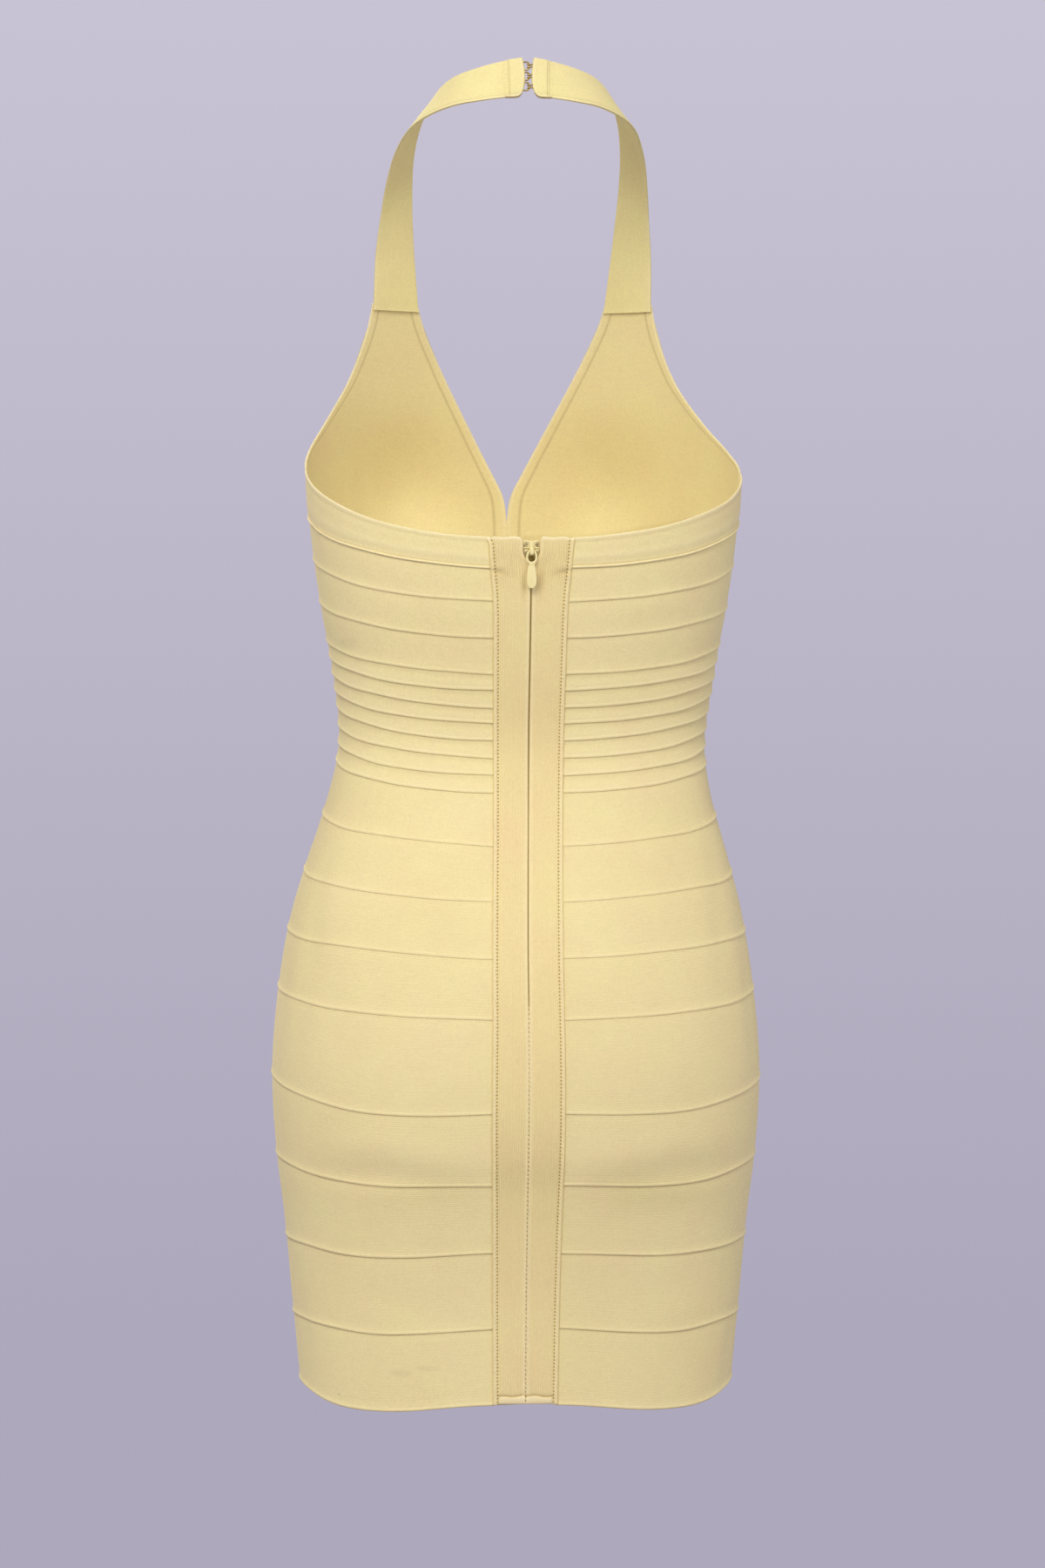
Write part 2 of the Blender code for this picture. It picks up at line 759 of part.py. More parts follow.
def arch(half, low, high, corner):
    """Outline of a block with its two upper corners cut off."""
    return (
        (-half, low),
        (half, low),
        (half, high - corner),
        (half - corner, high),
        (-half + corner, high),
        (-half, high - corner),
    )


def make_slider(collection, helpers):
    face = slider_face()
    bpy.ops.mesh.primitive_cube_add(size=1)
    body = bpy.context.object
    body.name = "zip_slider"
    for vertex in body.data.vertices:
        vertex.co.x *= SLIDER_WIDE * MM
        vertex.co.y *= SLIDER_THICK * MM
        vertex.co.z *= SLIDER_TALL * MM
    body.location = (0, (face - SLIDER_THICK / 2) * MM, SLIDER_Z * MM)
    for other in list(body.users_collection):
        other.objects.unlink(body)
    finish(body, collection, YELLOW, roughness=0.4)
    edge = body.modifiers.new("rounded", "BEVEL")
    edge.width = SLIDER_ROUND * MM
    edge.segments = 2

    rise = PIVOT_ABOVE + BRIDGE_GAP
    outer = arch(BRIDGE_REACH + BRIDGE_WALL, -BRIDGE_SUNK, rise + BRIDGE_WALL, 2 * BRIDGE_CORNER)
    inner = arch(BRIDGE_REACH, BRIDGE_FLOOR, rise, BRIDGE_CORNER)
    bridge = outline_curve("slider_bridge", (outer, inner), BRIDGE_HALF_WIDE)
    bridge.rotation_euler = (0, -QUARTER, 0)
    bridge.location = (0, face * MM, (SLIDER_Z - PIVOT_BELOW) * MM)
    bpy.context.view_layer.update()
    bridge = mesh_from_curve(bridge)
    bridge.hide_render = True
    bridge.display_type = "WIRE"
    helpers.objects.link(bridge)
    join = body.modifiers.new("bridge", "BOOLEAN")
    join.operation = "UNION"
    join.object = bridge


def teardrop_half(along):
    """Half width of the pull's grip at a distance from its narrow end, 0 to 1."""
    narrowed = 1 - TEARDROP_NARROW * (1 - along) ** TEARDROP_TAPER
    return TEARDROP_HALF * narrowed * math.sqrt(1 - along ** TEARDROP_BLUNT)


def ring_point(angle, half_wide, half_long):
    """A point of the pull's ring, from its top, round a squared ellipse."""
    s, c = math.sin(angle), math.cos(angle)
    x = math.copysign(abs(s) ** RING_SQUARE, s) * half_wide
    return x, math.copysign(abs(c) ** RING_SQUARE, c) * half_long


def make_pull(collection):
    ring_middle = (RING_LONG - RING_BAR) / 2
    half_steps = RING_STEPS // 2
    side = []
    for k in range(half_steps + 1):
        x, up = ring_point(k * HALF * RING_OPEN / half_steps, RING_HALF, RING_LONG / 2)
        side.append((x, ring_middle - up))
    side.append((NECK_HALF, RING_LONG))
    for k in range(1, TEARDROP_STEPS):
        along = math.sin(QUARTER * k / TEARDROP_STEPS)
        side.append((teardrop_half(along), mix(TEARDROP_START, TEARDROP_END, along)))
    side.append((0.0, TEARDROP_END))
    outline = [(x, -down) for x, down in side]
    outline += [(-x, -down) for x, down in reversed(side[1:-1])]
    hole = []
    for k in range(RING_STEPS):
        a = k * 2 * HALF / RING_STEPS
        x, up = ring_point(a, RING_HALF - RING_BAR, RING_LONG / 2 - RING_BAR)
        hole.append((x, up - ring_middle))
    pull = outline_curve("zip_pull", (outline, hole), PULL_THICK / 2)
    pull.rotation_euler = (QUARTER, 0, 0)
    bpy.context.view_layer.update()
    pull = mesh_from_curve(pull)
    pull.data.transform(pull.matrix_world)
    pull.matrix_world.identity()
    pull.location = pull_pivot() * MM
    finish(pull, collection, YELLOW, roughness=0.4)


# ---------------------------------------------------------------- build

def main():
    for old in list(bpy.data.objects):
        bpy.data.objects.remove(old)
    dress = bpy.data.collections.new("bandage_dress")
    helpers = bpy.data.collections.new("helpers")
    bpy.context.scene.collection.children.link(dress)
    bpy.context.scene.collection.children.link(helpers)
    make_bands(dress)
    make_placket(dress)
    make_zip_tape(dress)
    make_halter(dress)
    make_straps(dress)
    make_hooks(dress)
    make_slider(dress, helpers)
    make_pull(dress)


main()
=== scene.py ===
"""Halter-neck bandage dress: the cloth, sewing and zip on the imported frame.

Tables are in millimetres, as in the part's source. Cloth lies on one figure surface: a
point has a turn (round the body from centre back, left side first), a height and a lift
(out from the cloth's inner face). The wearer faces -Y and the zip side looks along +Y.
"""

import math

import bmesh
import bpy
import numpy as np
from mathutils import Euler, Matrix, Vector


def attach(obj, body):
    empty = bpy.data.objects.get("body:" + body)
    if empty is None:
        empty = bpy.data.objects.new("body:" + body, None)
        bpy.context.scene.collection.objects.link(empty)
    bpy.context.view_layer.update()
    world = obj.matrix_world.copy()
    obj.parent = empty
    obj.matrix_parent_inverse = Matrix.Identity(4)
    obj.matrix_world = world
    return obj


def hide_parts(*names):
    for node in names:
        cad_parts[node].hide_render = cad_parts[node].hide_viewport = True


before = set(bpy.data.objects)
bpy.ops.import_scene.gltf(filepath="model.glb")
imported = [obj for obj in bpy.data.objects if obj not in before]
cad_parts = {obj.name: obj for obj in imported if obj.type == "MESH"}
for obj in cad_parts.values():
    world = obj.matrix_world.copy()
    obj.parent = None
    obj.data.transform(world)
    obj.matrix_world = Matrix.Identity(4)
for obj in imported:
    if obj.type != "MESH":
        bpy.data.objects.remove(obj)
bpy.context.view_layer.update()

MM = 0.001
GAP = 0.3
QUARTER = math.pi / 2
HALF = math.pi
TAU = 2 * math.pi
SIDES = ((1, "left"), (-1, "right"))
RADIAN_MM = 150.0               # a radian of turn is about this long round the body

# ------------------------------------------------------------------ the figure

# z, half width, back, front, squareness
FIGURE = np.array((
    (-130, 137.0, 20, -158, 2.30),
    (-190, 141.5, 24, -180, 2.30),
    (-250, 144.0, 28, -193, 2.30),
    (-295, 140.5, 29, -195, 2.30),
    (-345, 133.5, 23, -181, 2.28),
    (-385, 126.0, 14, -168, 2.24),
    (-433, 120.5, 4, -166, 2.20),
    (-470, 126.5, 8, -175, 2.20),
    (-510, 138.5, 19, -184, 2.20),
    (-550, 149.3, 31, -188, 2.20),
    (-600, 157.2, 42, -183, 2.20),
    (-650, 160.8, 46, -174, 2.20),
    (-700, 158.3, 41, -166, 2.20),
    (-750, 152.3, 29, -160, 2.20),
    (-800, 147.6, 20, -155, 2.20),
    (-870, 140.8, 14, -150, 2.20),
))
SIDE_SEAM_Y = -70.0
HIP_SHIFT = 2.8                 # the hips lean this far to the wearer's left
HIP_SHIFT_FROM = -430.0
HIP_SHIFT_TO = -590.0
SIDE_SHIFT = -2.4               # the trunk's sides lean the other way, between these heights
SIDE_SHIFT_TOP = -170.0
SIDE_SHIFT_HIGH = -250.0
SIDE_SHIFT_LOW = -385.0
SIDE_SHIFT_END = -480.0
BUST_OUT = 20.0
BUST_X = 74.0
BUST_Z = -262.0
BUST_WIDE = 44.0
BUST_TALL = 46.0
BUST_FADE = 6

# Seams top to bottom: height at centre back, rise to the side, dip over the seat,
# height at centre front.
SEAMS = np.array((
    (-303.0, 50, 0, -262),
    (-323.0, 37, 0, -296),
    (-344.5, 31, 0, -320),
    (-367.6, 26, 0, -347),
    (-391.0, 24, 0, -373),
    (-401.5, 24, 0, -383),
    (-412.5, 24, 0, -394),
    (-423.0, 24, 0, -404),
    (-434.0, 24, 0, -415),
    (-445.5, 23, 0, -427),
    (-457.0, 23, 0, -438),
    (-468.0, 22, 0, -450),
    (-503.0, 22, -2, -485),
    (-538.5, 20, -2, -522),
    (-574.5, 17, -2, -560),
    (-613.5, 18, 0, -598),
    (-673.0, 20, 6, -656),
    (-719.5, 14, 6, -708),
    (-764.0, 4, 6, -760),
    (-813.0, 2, 8, -811),
    (-863.0, 0, 8, -862),
))
HEM = len(SEAMS) - 1
FRONT_SWEEP = 0.6
HEM_LIFT = 8.0                  # the hem lifts this much at the side seams
HEM_LIFT_WIDE = math.radians(20)
WAIST_FIRST = 4
WAIST_LAST = 11
SEAM_WAVES = ((3, 0.22), (7, 0.20), (13, 0.14))   # waves round the body, mm

# z, half width of the pair of strips beside the zip
PLACKET = np.array((
    (-302, 27.8),
    (-322, 26.2),
    (-343, 24.2),
    (-390, 23.3),
    (-440, 22.7),
    (-500, 22.4),
    (-600, 22.8),
    (-680, 23.4),
    (-760, 22.0),
    (-864, 20.8),
))
PLACKET_TOP = -302.5
PLACKET_HEM = -862.3
NOTCH_HALF = 5.2
NOTCH_DEEP = 9.0
NOTCH_CLOSED = 19.5
ZIP_END = -604.0

CREASE_BEND = 0.06
CREASE_SWELL = 0.45             # the ridge beside a crease, as a share of its depth
# Soft troughs pressed into the cloth, and ridges where the depth is negative:
# turn in degrees, height, half length, half width, lean from level, depth.
CREASES = (
    (62, -560, 46, 9, 78, 0.55),
    (70, -590, 55, 7, 86, -0.40),
    (50, -610, 40, 12, 70, 0.35),
    (-58, -545, 44, 10, -74, 0.50),
    (-70, -600, 52, 8, -84, 0.45),
    (-50, -500, 34, 9, 28, 0.50),
    (-40, -520, 30, 8, 22, -0.30),
    (38, -488, 28, 9, -18, 0.30),
    (33, -714, 60, 10, 4, 1.50),
    (-35, -713, 62, 10, -5, 1.50),
    (28, -800, 40, 10, 12, 0.30),
    (-40, -806, 44, 10, -10, -0.30),
    (72, -820, 34, 8, 80, 0.45),
    (-70, -835, 30, 8, -80, 0.45),
    (40, -334, 30, 6, 14, 0.25),
    (-36, -356, 32, 7, -10, 0.25),
    (78, -300, 18, 5, 64, 0.50),
    (-79, -302, 18, 5, -60, 0.50),
    (112, -318, 34, 8, 30, 0.70),
    (-114, -322, 36, 8, -32, 0.70),
    (128, -336, 34, 8, 22, -0.40),
    (104, -480, 34, 8, 24, 0.60),
    (-102, -486, 36, 9, -22, 0.60),
    (150, -500, 44, 11, 12, 0.50),
    (-146, -520, 40, 10, -14, 0.50),
    (170, -560, 46, 12, 6, -0.50),
    (118, -640, 50, 10, 74, 0.50),
    (-122, -650, 50, 10, -72, 0.50),
    (160, -760, 60, 12, 80, 0.55),
    (-158, -780, 56, 11, -82, 0.55),
)


def table_value(rows, z, column=1):
    """Cubic through a table's rows, which run down from the highest z."""
    keys, values = rows[:, 0], rows[:, column]
    slopes = np.empty(len(keys))
    slopes[1:-1] = (values[2:] - values[:-2]) / (keys[2:] - keys[:-2])
    slopes[0] = (values[1] - values[0]) / (keys[1] - keys[0])
    slopes[-1] = (values[-1] - values[-2]) / (keys[-1] - keys[-2])
    i = np.clip(np.searchsorted(-keys, -z) - 1, 0, len(keys) - 2)
    step = keys[i + 1] - keys[i]
    t = np.clip((z - keys[i]) / step, 0, 1)
    t2, t3 = t * t, t * t * t
    return (
        (2 * t3 - 3 * t2 + 1) * values[i]
        + (t3 - 2 * t2 + t) * step * slopes[i]
        + (3 * t2 - 2 * t3) * values[i + 1]
        + (t3 - t2) * step * slopes[i + 1]
    )


def mix(a, b, share):
    return a + (b - a) * share


def ease(x):
    """From 0 to 1 as x does, level at both ends."""
    x = np.clip(x, 0, 1)
    return x * x * (3 - 2 * x)


def bell(x, width):
    return np.exp(-(x / width) ** 2)


def bells(x, rows):
    """Sum of bells. A row holds where one is, its width and its height."""
    return sum(high * bell(x - at, width) for at, width, high in rows)


def rounded(x, least):
    """Height of a quarter circle, from 0 at its edge to 1, and never under the least."""
    return np.sqrt(np.clip(1 - (1 - np.minimum(x, 1)) ** 2, least, 1))


def stacked(*parts):
    """Triples from three arrays or numbers."""
    return np.stack(np.broadcast_arrays(*parts), -1)


def centre_x(z):
    """How far the figure's middle is to the wearer's left."""
    return HIP_SHIFT * ease((HIP_SHIFT_FROM - z) / (HIP_SHIFT_FROM - HIP_SHIFT_TO))


def side_shift(z):
    """How far both sides of the trunk are to the wearer's left."""
    above = ease((SIDE_SHIFT_TOP - z) / (SIDE_SHIFT_TOP - SIDE_SHIFT_HIGH))
    below = ease((z - SIDE_SHIFT_END) / (SIDE_SHIFT_LOW - SIDE_SHIFT_END))
    return SIDE_SHIFT * above * below


def figure(turn, z):
    """Inner face of the cloth, in mm."""
    turn, z = np.broadcast_arrays(np.asarray(turn, float), np.asarray(z, float))
    half = table_value(FIGURE, z, 1)
    power = 2 / table_value(FIGURE, z, 4)
    s, c = np.sin(turn), np.cos(turn)
    x = np.sign(s) * half * np.abs(s) ** power
    back = table_value(FIGURE, z, 2) - SIDE_SEAM_Y
    front = SIDE_SEAM_Y - table_value(FIGURE, z, 3)
    y = SIDE_SEAM_Y + np.sign(c) * np.where(c >= 0, back, front) * np.abs(c) ** power
    across = (np.abs(x) - BUST_X) / BUST_WIDE
    up = (z - BUST_Z) / BUST_TALL
    bust = BUST_OUT * np.exp(-across ** 2 - up ** 2) * (1 - np.abs(s) ** BUST_FADE)
    y = y - np.where(c < 0, bust, 0)
    return np.stack((x + centre_x(z) + side_shift(z) * s * s, y, z), -1)


def creased(turn, z):
    """How far the creases raise the cloth at a point, in mm; below 0 is a trough."""
    total = np.zeros(np.broadcast(turn, z).shape)
    for at, height, half_long, half_wide, lean, depth in CREASES:
        off = np.angle(np.exp(1j * (turn - math.radians(at)))) * RADIAN_MM
        up = z - height
        c, s = math.cos(math.radians(lean)), math.sin(math.radians(lean))
        along = off * c + up * s
        across = -off * s + up * c + CREASE_BEND * along * np.sin(along / half_long * 2)
        fold = bells(across, ((0, half_wide, 1.0), (2 * half_wide, half_wide, -CREASE_SWELL)))
        total -= depth * bell(along, half_long) * fold
    return total


def lifted(turn, z, lift):
    """Points that far out from the figure, in metres."""
    turn, z, lift = np.broadcast_arrays(turn, z, lift)
    small = 0.01
    round_way = figure(turn + small, z) - figure(turn - small, z)
    up_way = figure(turn, z + 1.0) - figure(turn, z - 1.0)
    normal = np.cross(up_way, round_way)
    normal /= np.linalg.norm(normal, axis=-1, keepdims=True)
    here = figure(turn, z)
    outward = here - stacked(0, SIDE_SEAM_Y, z)
    flip = np.sign((normal * outward).sum(-1, keepdims=True))
    return (here + normal * flip * (lift + creased(turn, z))[..., None]) * MM


def turn_at_x(x, z, front=False):
    """The turn where the figure is x to the left of its middle."""
    power = table_value(FIGURE, z, 4) / 2
    turn = np.arcsin(np.clip((x / table_value(FIGURE, z, 1)) ** power, 0, 1))
    return HALF - turn if front else turn


def side_turn(z, front=False):
    """The turn of the side seam's edge, on the back or the front piece."""
    edge = table_value(FIGURE, z, 3 if front else 2)
    power = table_value(FIGURE, z, 4) / 2
    turn = np.arccos((GAP / 2 / np.abs(edge - SIDE_SEAM_Y)) ** power)
    return HALF - turn if front else turn


def seam_height(number, turn):
    """Height of a seam at a turn between -pi and pi, with its small waves."""
    back, side_rise, seat_dip, front = SEAMS[number]
    round_way = np.abs(turn)
    dip = np.sin(2 * round_way) ** 2 * np.cos(round_way)
    on_back = back + side_rise * (1 - np.cos(round_way)) - seat_dip * dip
    t = np.clip((round_way - QUARTER) / QUARTER, 0, 1)
    side = back + side_rise
    sweep = side_rise * QUARTER * FRONT_SWEEP * t * (1 - t) ** 2
    on_front = side + sweep + (front - side) * t * t * (3 - 2 * t)
    height = np.where(round_way <= QUARTER, on_back, on_front)
    if number == HEM:
        height = height + HEM_LIFT * bell(round_way - QUARTER, HEM_LIFT_WIDE)
    for waves, size in SEAM_WAVES:
        height = height + size * np.sin(waves * turn + number * 2.4 + waves)
    return height


def placket_half(z):
    """Half the width of the pair of strips beside the zip."""
    return table_value(PLACKET, np.clip(z, PLACKET[-1, 0], PLACKET[0, 0]))


def arc_mm(points):
    """Length of a line of points in metres, in mm."""
    return np.linalg.norm(np.diff(points, axis=0), axis=1).sum() / MM


# ------------------------------------------------------------------ mesh makers

MATERIALS = {}


def linked(name, data):
    obj = bpy.data.objects.new(name, data)
    bpy.context.scene.collection.objects.link(obj)
    return obj


def new_mesh(name, points, faces, material, cloth=None, trim_and_painted_shade=None, sharp=62):
    """An object from points in metres and lists of equal-sided faces, facing out."""
    points = np.asarray(points, float).reshape(-1, 3)
    volume = 0.0
    for group in faces:
        for k in range(1, group.shape[1] - 1):
            a, b, c = points[group[:, 0]], points[group[:, k]], points[group[:, k + 1]]
            volume += (a * np.cross(b, c)).sum()
    if volume < 0:
        faces = [group[:, ::-1] for group in faces]
    mesh = bpy.data.meshes.new(name)
    loops = np.concatenate([group.ravel() for group in faces])
    sizes = np.concatenate([np.full(len(group), group.shape[1]) for group in faces])
    mesh.vertices.add(len(points))
    mesh.vertices.foreach_set("co", points.astype(np.float32).ravel())
    mesh.loops.add(len(loops))
    mesh.loops.foreach_set("vertex_index", loops.astype(np.int32))
    mesh.polygons.add(len(sizes))
    starts = np.concatenate(([0], np.cumsum(sizes)[:-1]))
    mesh.polygons.foreach_set("loop_start", starts.astype(np.int32))
    mesh.update(calc_edges=True)
    mesh.validate()
    # The trim holds the distance in from a zip strip's outer edge, the painted light and shade, and how near
    # the closed seam a point is.
    for key, values in (("cloth", cloth), ("trim_and_painted_shade", trim_and_painted_shade)):
        if values is not None:
            layer = mesh.attributes.new(key, "FLOAT_VECTOR", "POINT")
            layer.data.foreach_set("vector", np.asarray(values, np.float32).ravel())
    mesh.materials.append(MATERIALS[material])
    mesh.shade_smooth()
    mesh.set_sharp_from_angle(angle=math.radians(sharp))
    return linked(name, mesh)


def loft_faces(sections, around, closed=True):
    """Faces of a body through equal rings, with flat ends where it is closed."""
    index = np.arange(sections * around).reshape(sections, around)
    following = np.roll(index, -1, axis=1)
    quads = np.stack((index[:-1], following[:-1], following[1:], index[1:]), -1)
    faces = [quads.reshape(-1, 4)]
    if closed:
        faces.append(np.stack((index[0][::-1], index[-1])))
    return faces


def loft(name, rings, material, cloth=None, trim_and_painted_shade=None, sharp=62):
    sections, around = rings.shape[:2]
    return new_mesh(name, rings, loft_faces(sections, around), material, cloth, trim_and_painted_shade, sharp)


STITCH_SIDES = 6
# share of the stitch's length, size of the ring, share of the arch
STITCH_RINGS = (
    (-0.06, 0.35, -1.0),
    (0.04, 0.80, -0.3),
    (0.27, 1.0, 0.75),
    (0.5, 1.0, 1.0),
    (0.73, 1.0, 0.75),
    (0.96, 0.80, -0.3),
    (1.06, 0.35, -1.0),
)


def capsules(name, pairs, outward, radius, arch, material):
    """Short round stitches. A pair is a stitch's start and end, in metres; it arches outward."""
    pairs = np.asarray(pairs, float)
    starts, along = pairs[:, 0], pairs[:, 1] - pairs[:, 0]
    length = np.linalg.norm(along, axis=1, keepdims=True)
    along = along / length
    across = np.cross(along, outward)
    across /= np.linalg.norm(across, axis=1, keepdims=True)
    up = np.cross(across, along)
    angles = np.arange(STITCH_SIDES) * TAU / STITCH_SIDES
    rings = []
    for share, size, high in STITCH_RINGS:
        middle = starts + along * length * share + up * arch * MM * high
        wide = (np.cos(angles) * radius * MM * size)[None, :, None]
        tall = (np.sin(angles) * radius * MM * size)[None, :, None]
        rings.append(middle[:, None] + across[:, None] * wide + up[:, None] * tall)
    quads, caps = loft_faces(len(STITCH_RINGS), STITCH_SIDES)
    moves = (np.arange(len(starts)) * len(STITCH_RINGS) * STITCH_SIDES)[:, None, None]
    faces = [(quads[None] + moves).reshape(-1, 4), (caps[None] + moves).reshape(-1, STITCH_SIDES)]
    return new_mesh(name, np.stack(rings, 1), faces, material)


def tube(name, points, radius, material, sides):
    """A round wire through points in metres."""
    tangent = np.gradient(points, axis=0)
    tangent /= np.linalg.norm(tangent, axis=1, keepdims=True)
    first = np.array((0.0, 0.0, 1.0))
    if abs(tangent[0] @ first) > 0.9:
        first = np.array((1.0, 0.0, 0.0))
    side = np.cross(tangent[0], first)
    angles = np.arange(sides)[:, None] * TAU / sides
    rings = []
    for point, way in zip(points, tangent):
        side = side - way * (side @ way)
        side /= np.linalg.norm(side)
        other = np.cross(way, side)
        rings.append(point + radius * (np.cos(angles) * side + np.sin(angles) * other))
    return loft(name, np.array(rings), material, sharp=70)


def smooth_path(points, steps):
    """A Catmull-Rom curve through the points, steps spans between each two."""
    points = np.asarray(points, float)
    padded = np.vstack((2 * points[0] - points[1], points, 2 * points[-1] - points[-2]))
    result = []
    for i in range(len(points) - 1):
        p0, p1, p2, p3 = padded[i:i + 4]
        for f in np.arange(steps) / steps:
            result.append(0.5 * (
                2 * p1 + (p2 - p0) * f
                + (2 * p0 - 5 * p1 + 4 * p2 - p3) * f * f
                + (3 * p1 - p0 - 3 * p2 + p3) * f ** 3
            ))
    result.append(points[-1])
    return np.array(result)


# ------------------------------------------------------------------ materials

CREAM = (0.880, 0.765, 0.372, 1)
CREAM_DEEP = (0.825, 0.690, 0.312, 1)
STRIP_CREAM = (0.878, 0.742, 0.340, 1)
STRIP_DEEP = (0.805, 0.625, 0.278, 1)
STRAP_CREAM = (0.862, 0.768, 0.352, 1)
STRAP_DEEP = (0.840, 0.735, 0.305, 1)
# Colours of the painted highlight and the painted shadow; SHADOW is also the brown thread's dark twist.
PAINTED_HIGHLIGHT = (0.960, 0.870, 0.560, 1)
SHADOW = (0.330, 0.225, 0.075, 1)
FLECK_BROWN = (0.40, 0.33, 0.19, 1)
THREAD = (0.955, 0.860, 0.530, 1)
BROWN_THREAD = (0.430, 0.300, 0.120, 1)
TAPE_OLIVE = (0.560, 0.440, 0.130, 1)
TAPE_DEEP = (0.280, 0.205, 0.040, 1)
TAPE_PAINTED_LIGHT = (0.99, 0.89, 0.50, 1)
TAPE_SHADE = (0.110, 0.075, 0.015, 1)
ENAMEL = (0.885, 0.795, 0.350, 1)
ENAMEL_WORN = (0.84, 0.72, 0.33, 1)
BRASS = (0.68, 0.51, 0.18, 1)
BRASS_WORN = (0.30, 0.21, 0.06, 1)
BACKDROP_LOW = (0.418, 0.393, 0.500, 1)
BACKDROP_HIGH = (0.575, 0.545, 0.655, 1)
SHEEN = (1.0, 0.92, 0.60, 1)
STRIP_SHEEN = (1.0, 0.90, 0.58, 1)

# Spots on the back: x, z, width, height.
FLECKS = ((83, -843.0, 8, 3.6), (66, -839.5, 10, 2.2), (118, -370, 9, 5))
FLECK_DOT = (122, -859.5, 0.7, 0.7)
# The same, for the shade between the coil's ends.
TAPE_HOLLOWS = (
    (3.4, -307.0, 1.0, 0.55), (4.3, -308.2, 0.8, 0.75), (3.2, -308.9, 0.9, 0.45),
    (-3.3, -307.3, 1.1, 0.50), (-4.2, -306.9, 0.7, 0.60), (-4.1, -308.5, 0.9, 0.80),
)

RIB_PITCH = 1.4
STRIP_RIB_PITCH = 1.38
STITCH_LONG = 0.9               # a knitted loop
STITCH_PITCH = 2.25             # topstitching
SEAM_STITCH_PITCH = 2.85
TROUGH_IN = 2.5                 # the stitched trough, in from a zip strip's outer edge
PINHOLE_IN = TROUGH_IN + 0.45
PINHOLE = 0.64


class Signal:
    """What a node gives out. It adds and multiplies as a number does."""

    def __init__(self, shader, socket):
        self.shader = shader
        self.socket = socket

    def __add__(self, other):
        return self.shader.math("ADD", self, other)

    def __sub__(self, other):
        return self.shader.math("SUBTRACT", self, other)

    def __rsub__(self, other):
        return self.shader.math("SUBTRACT", other, self)

    def __mul__(self, other):
        return self.shader.math("MULTIPLY", self, other)

    def __truediv__(self, other):
        return self.shader.math("DIVIDE", self, other)

    __radd__ = __add__

    def clamped(self):
        """The same number, which its own node now keeps between 0 and 1."""
        self.socket.node.use_clamp = True
        return self


class Shader:
    """A material's node tree, with short ways to add and join nodes."""

    def __init__(self, name):
        material = bpy.data.materials.new(name)
        material.use_nodes = True
        MATERIALS[name] = material
        self.tree = material.node_tree
        self.surface = self.tree.nodes["Principled BSDF"]

    def feed(self, node, values):
        """Sets a node's inputs, by number or by name with _ for each space."""
        for key, value in values.items():
            socket = node.inputs[key.replace("_", " ") if isinstance(key, str) else key]
            if isinstance(value, Signal):
                self.tree.links.new(value.socket, socket)
            else:
                socket.default_value = value

    def node(self, kind, **inputs):
        """Adds a node and gives its first output."""
        made = self.tree.nodes.new("ShaderNode" + kind)
        self.feed(made, inputs)
        return Signal(self, made.outputs[0])

    def math(self, operation, *values):
        made = self.tree.nodes.new("ShaderNodeMath")
        made.operation = operation
        self.feed(made, dict(enumerate(values)))
        return Signal(self, made.outputs[0])

    def noise(self, scale, detail=3.0, roughness=0.55, vector=None):
        """Noise from 0 to 1 with so many waves a metre, by place on the dress."""
        return self.node("TexNoise", Vector=vector or self.place(), Scale=scale, Detail=detail,
                         Roughness=roughness)

    def bump(self, height, strength, distance=0.0001):
        return self.node("Bump", Height=height, Strength=strength, Distance=distance)

    def colour_mix(self, share, a, b):
        made = self.tree.nodes.new("ShaderNodeMix")
        made.data_type = "RGBA"
        self.feed(made, {0: share, 6: a, 7: b})
        return Signal(self, made.outputs[2])

    def set(self, **values):
        self.feed(self.surface, values)

    def split(self, vector):
        made = self.tree.nodes.new("ShaderNodeSeparateXYZ")
        self.feed(made, {0: vector})
        return [Signal(self, output) for output in made.outputs]

    def stored(self, name):
        """The three numbers that a mesh's points hold under a name."""
        made = self.tree.nodes.new("ShaderNodeAttribute")
        made.attribute_name = name
        return self.split(Signal(self, made.outputs["Vector"]))

    def place(self):
        return Signal(self, self.tree.nodes.new("ShaderNodeTexCoord").outputs["Object"])

    def shaded(self, colour, shade):
        """Painted highlight where the shade is above 0 and painted shadow where it is below."""
        colour = self.colour_mix(self.math("MAXIMUM", shade, 0.0), colour, PAINTED_HIGHLIGHT)
        return self.colour_mix(self.math("MAXIMUM", shade * -1.0, 0.0), colour, SHADOW)

    def spot(self, x, z, wide, tall):
        """1 at a place on the back of the dress, fading to 0 at that distance, in mm."""
        across, depth, height = self.split(self.place())
        right, up = (across - x * MM) / (wide * MM), (height - z * MM) / (tall * MM)
        near = (1.0 - (right * right + up * up)).clamped()
        return near * self.math("GREATER_THAN", depth, SIDE_SEAM_Y * MM)

    def spots(self, rows):
        return sum(self.spot(*row) for row in rows)


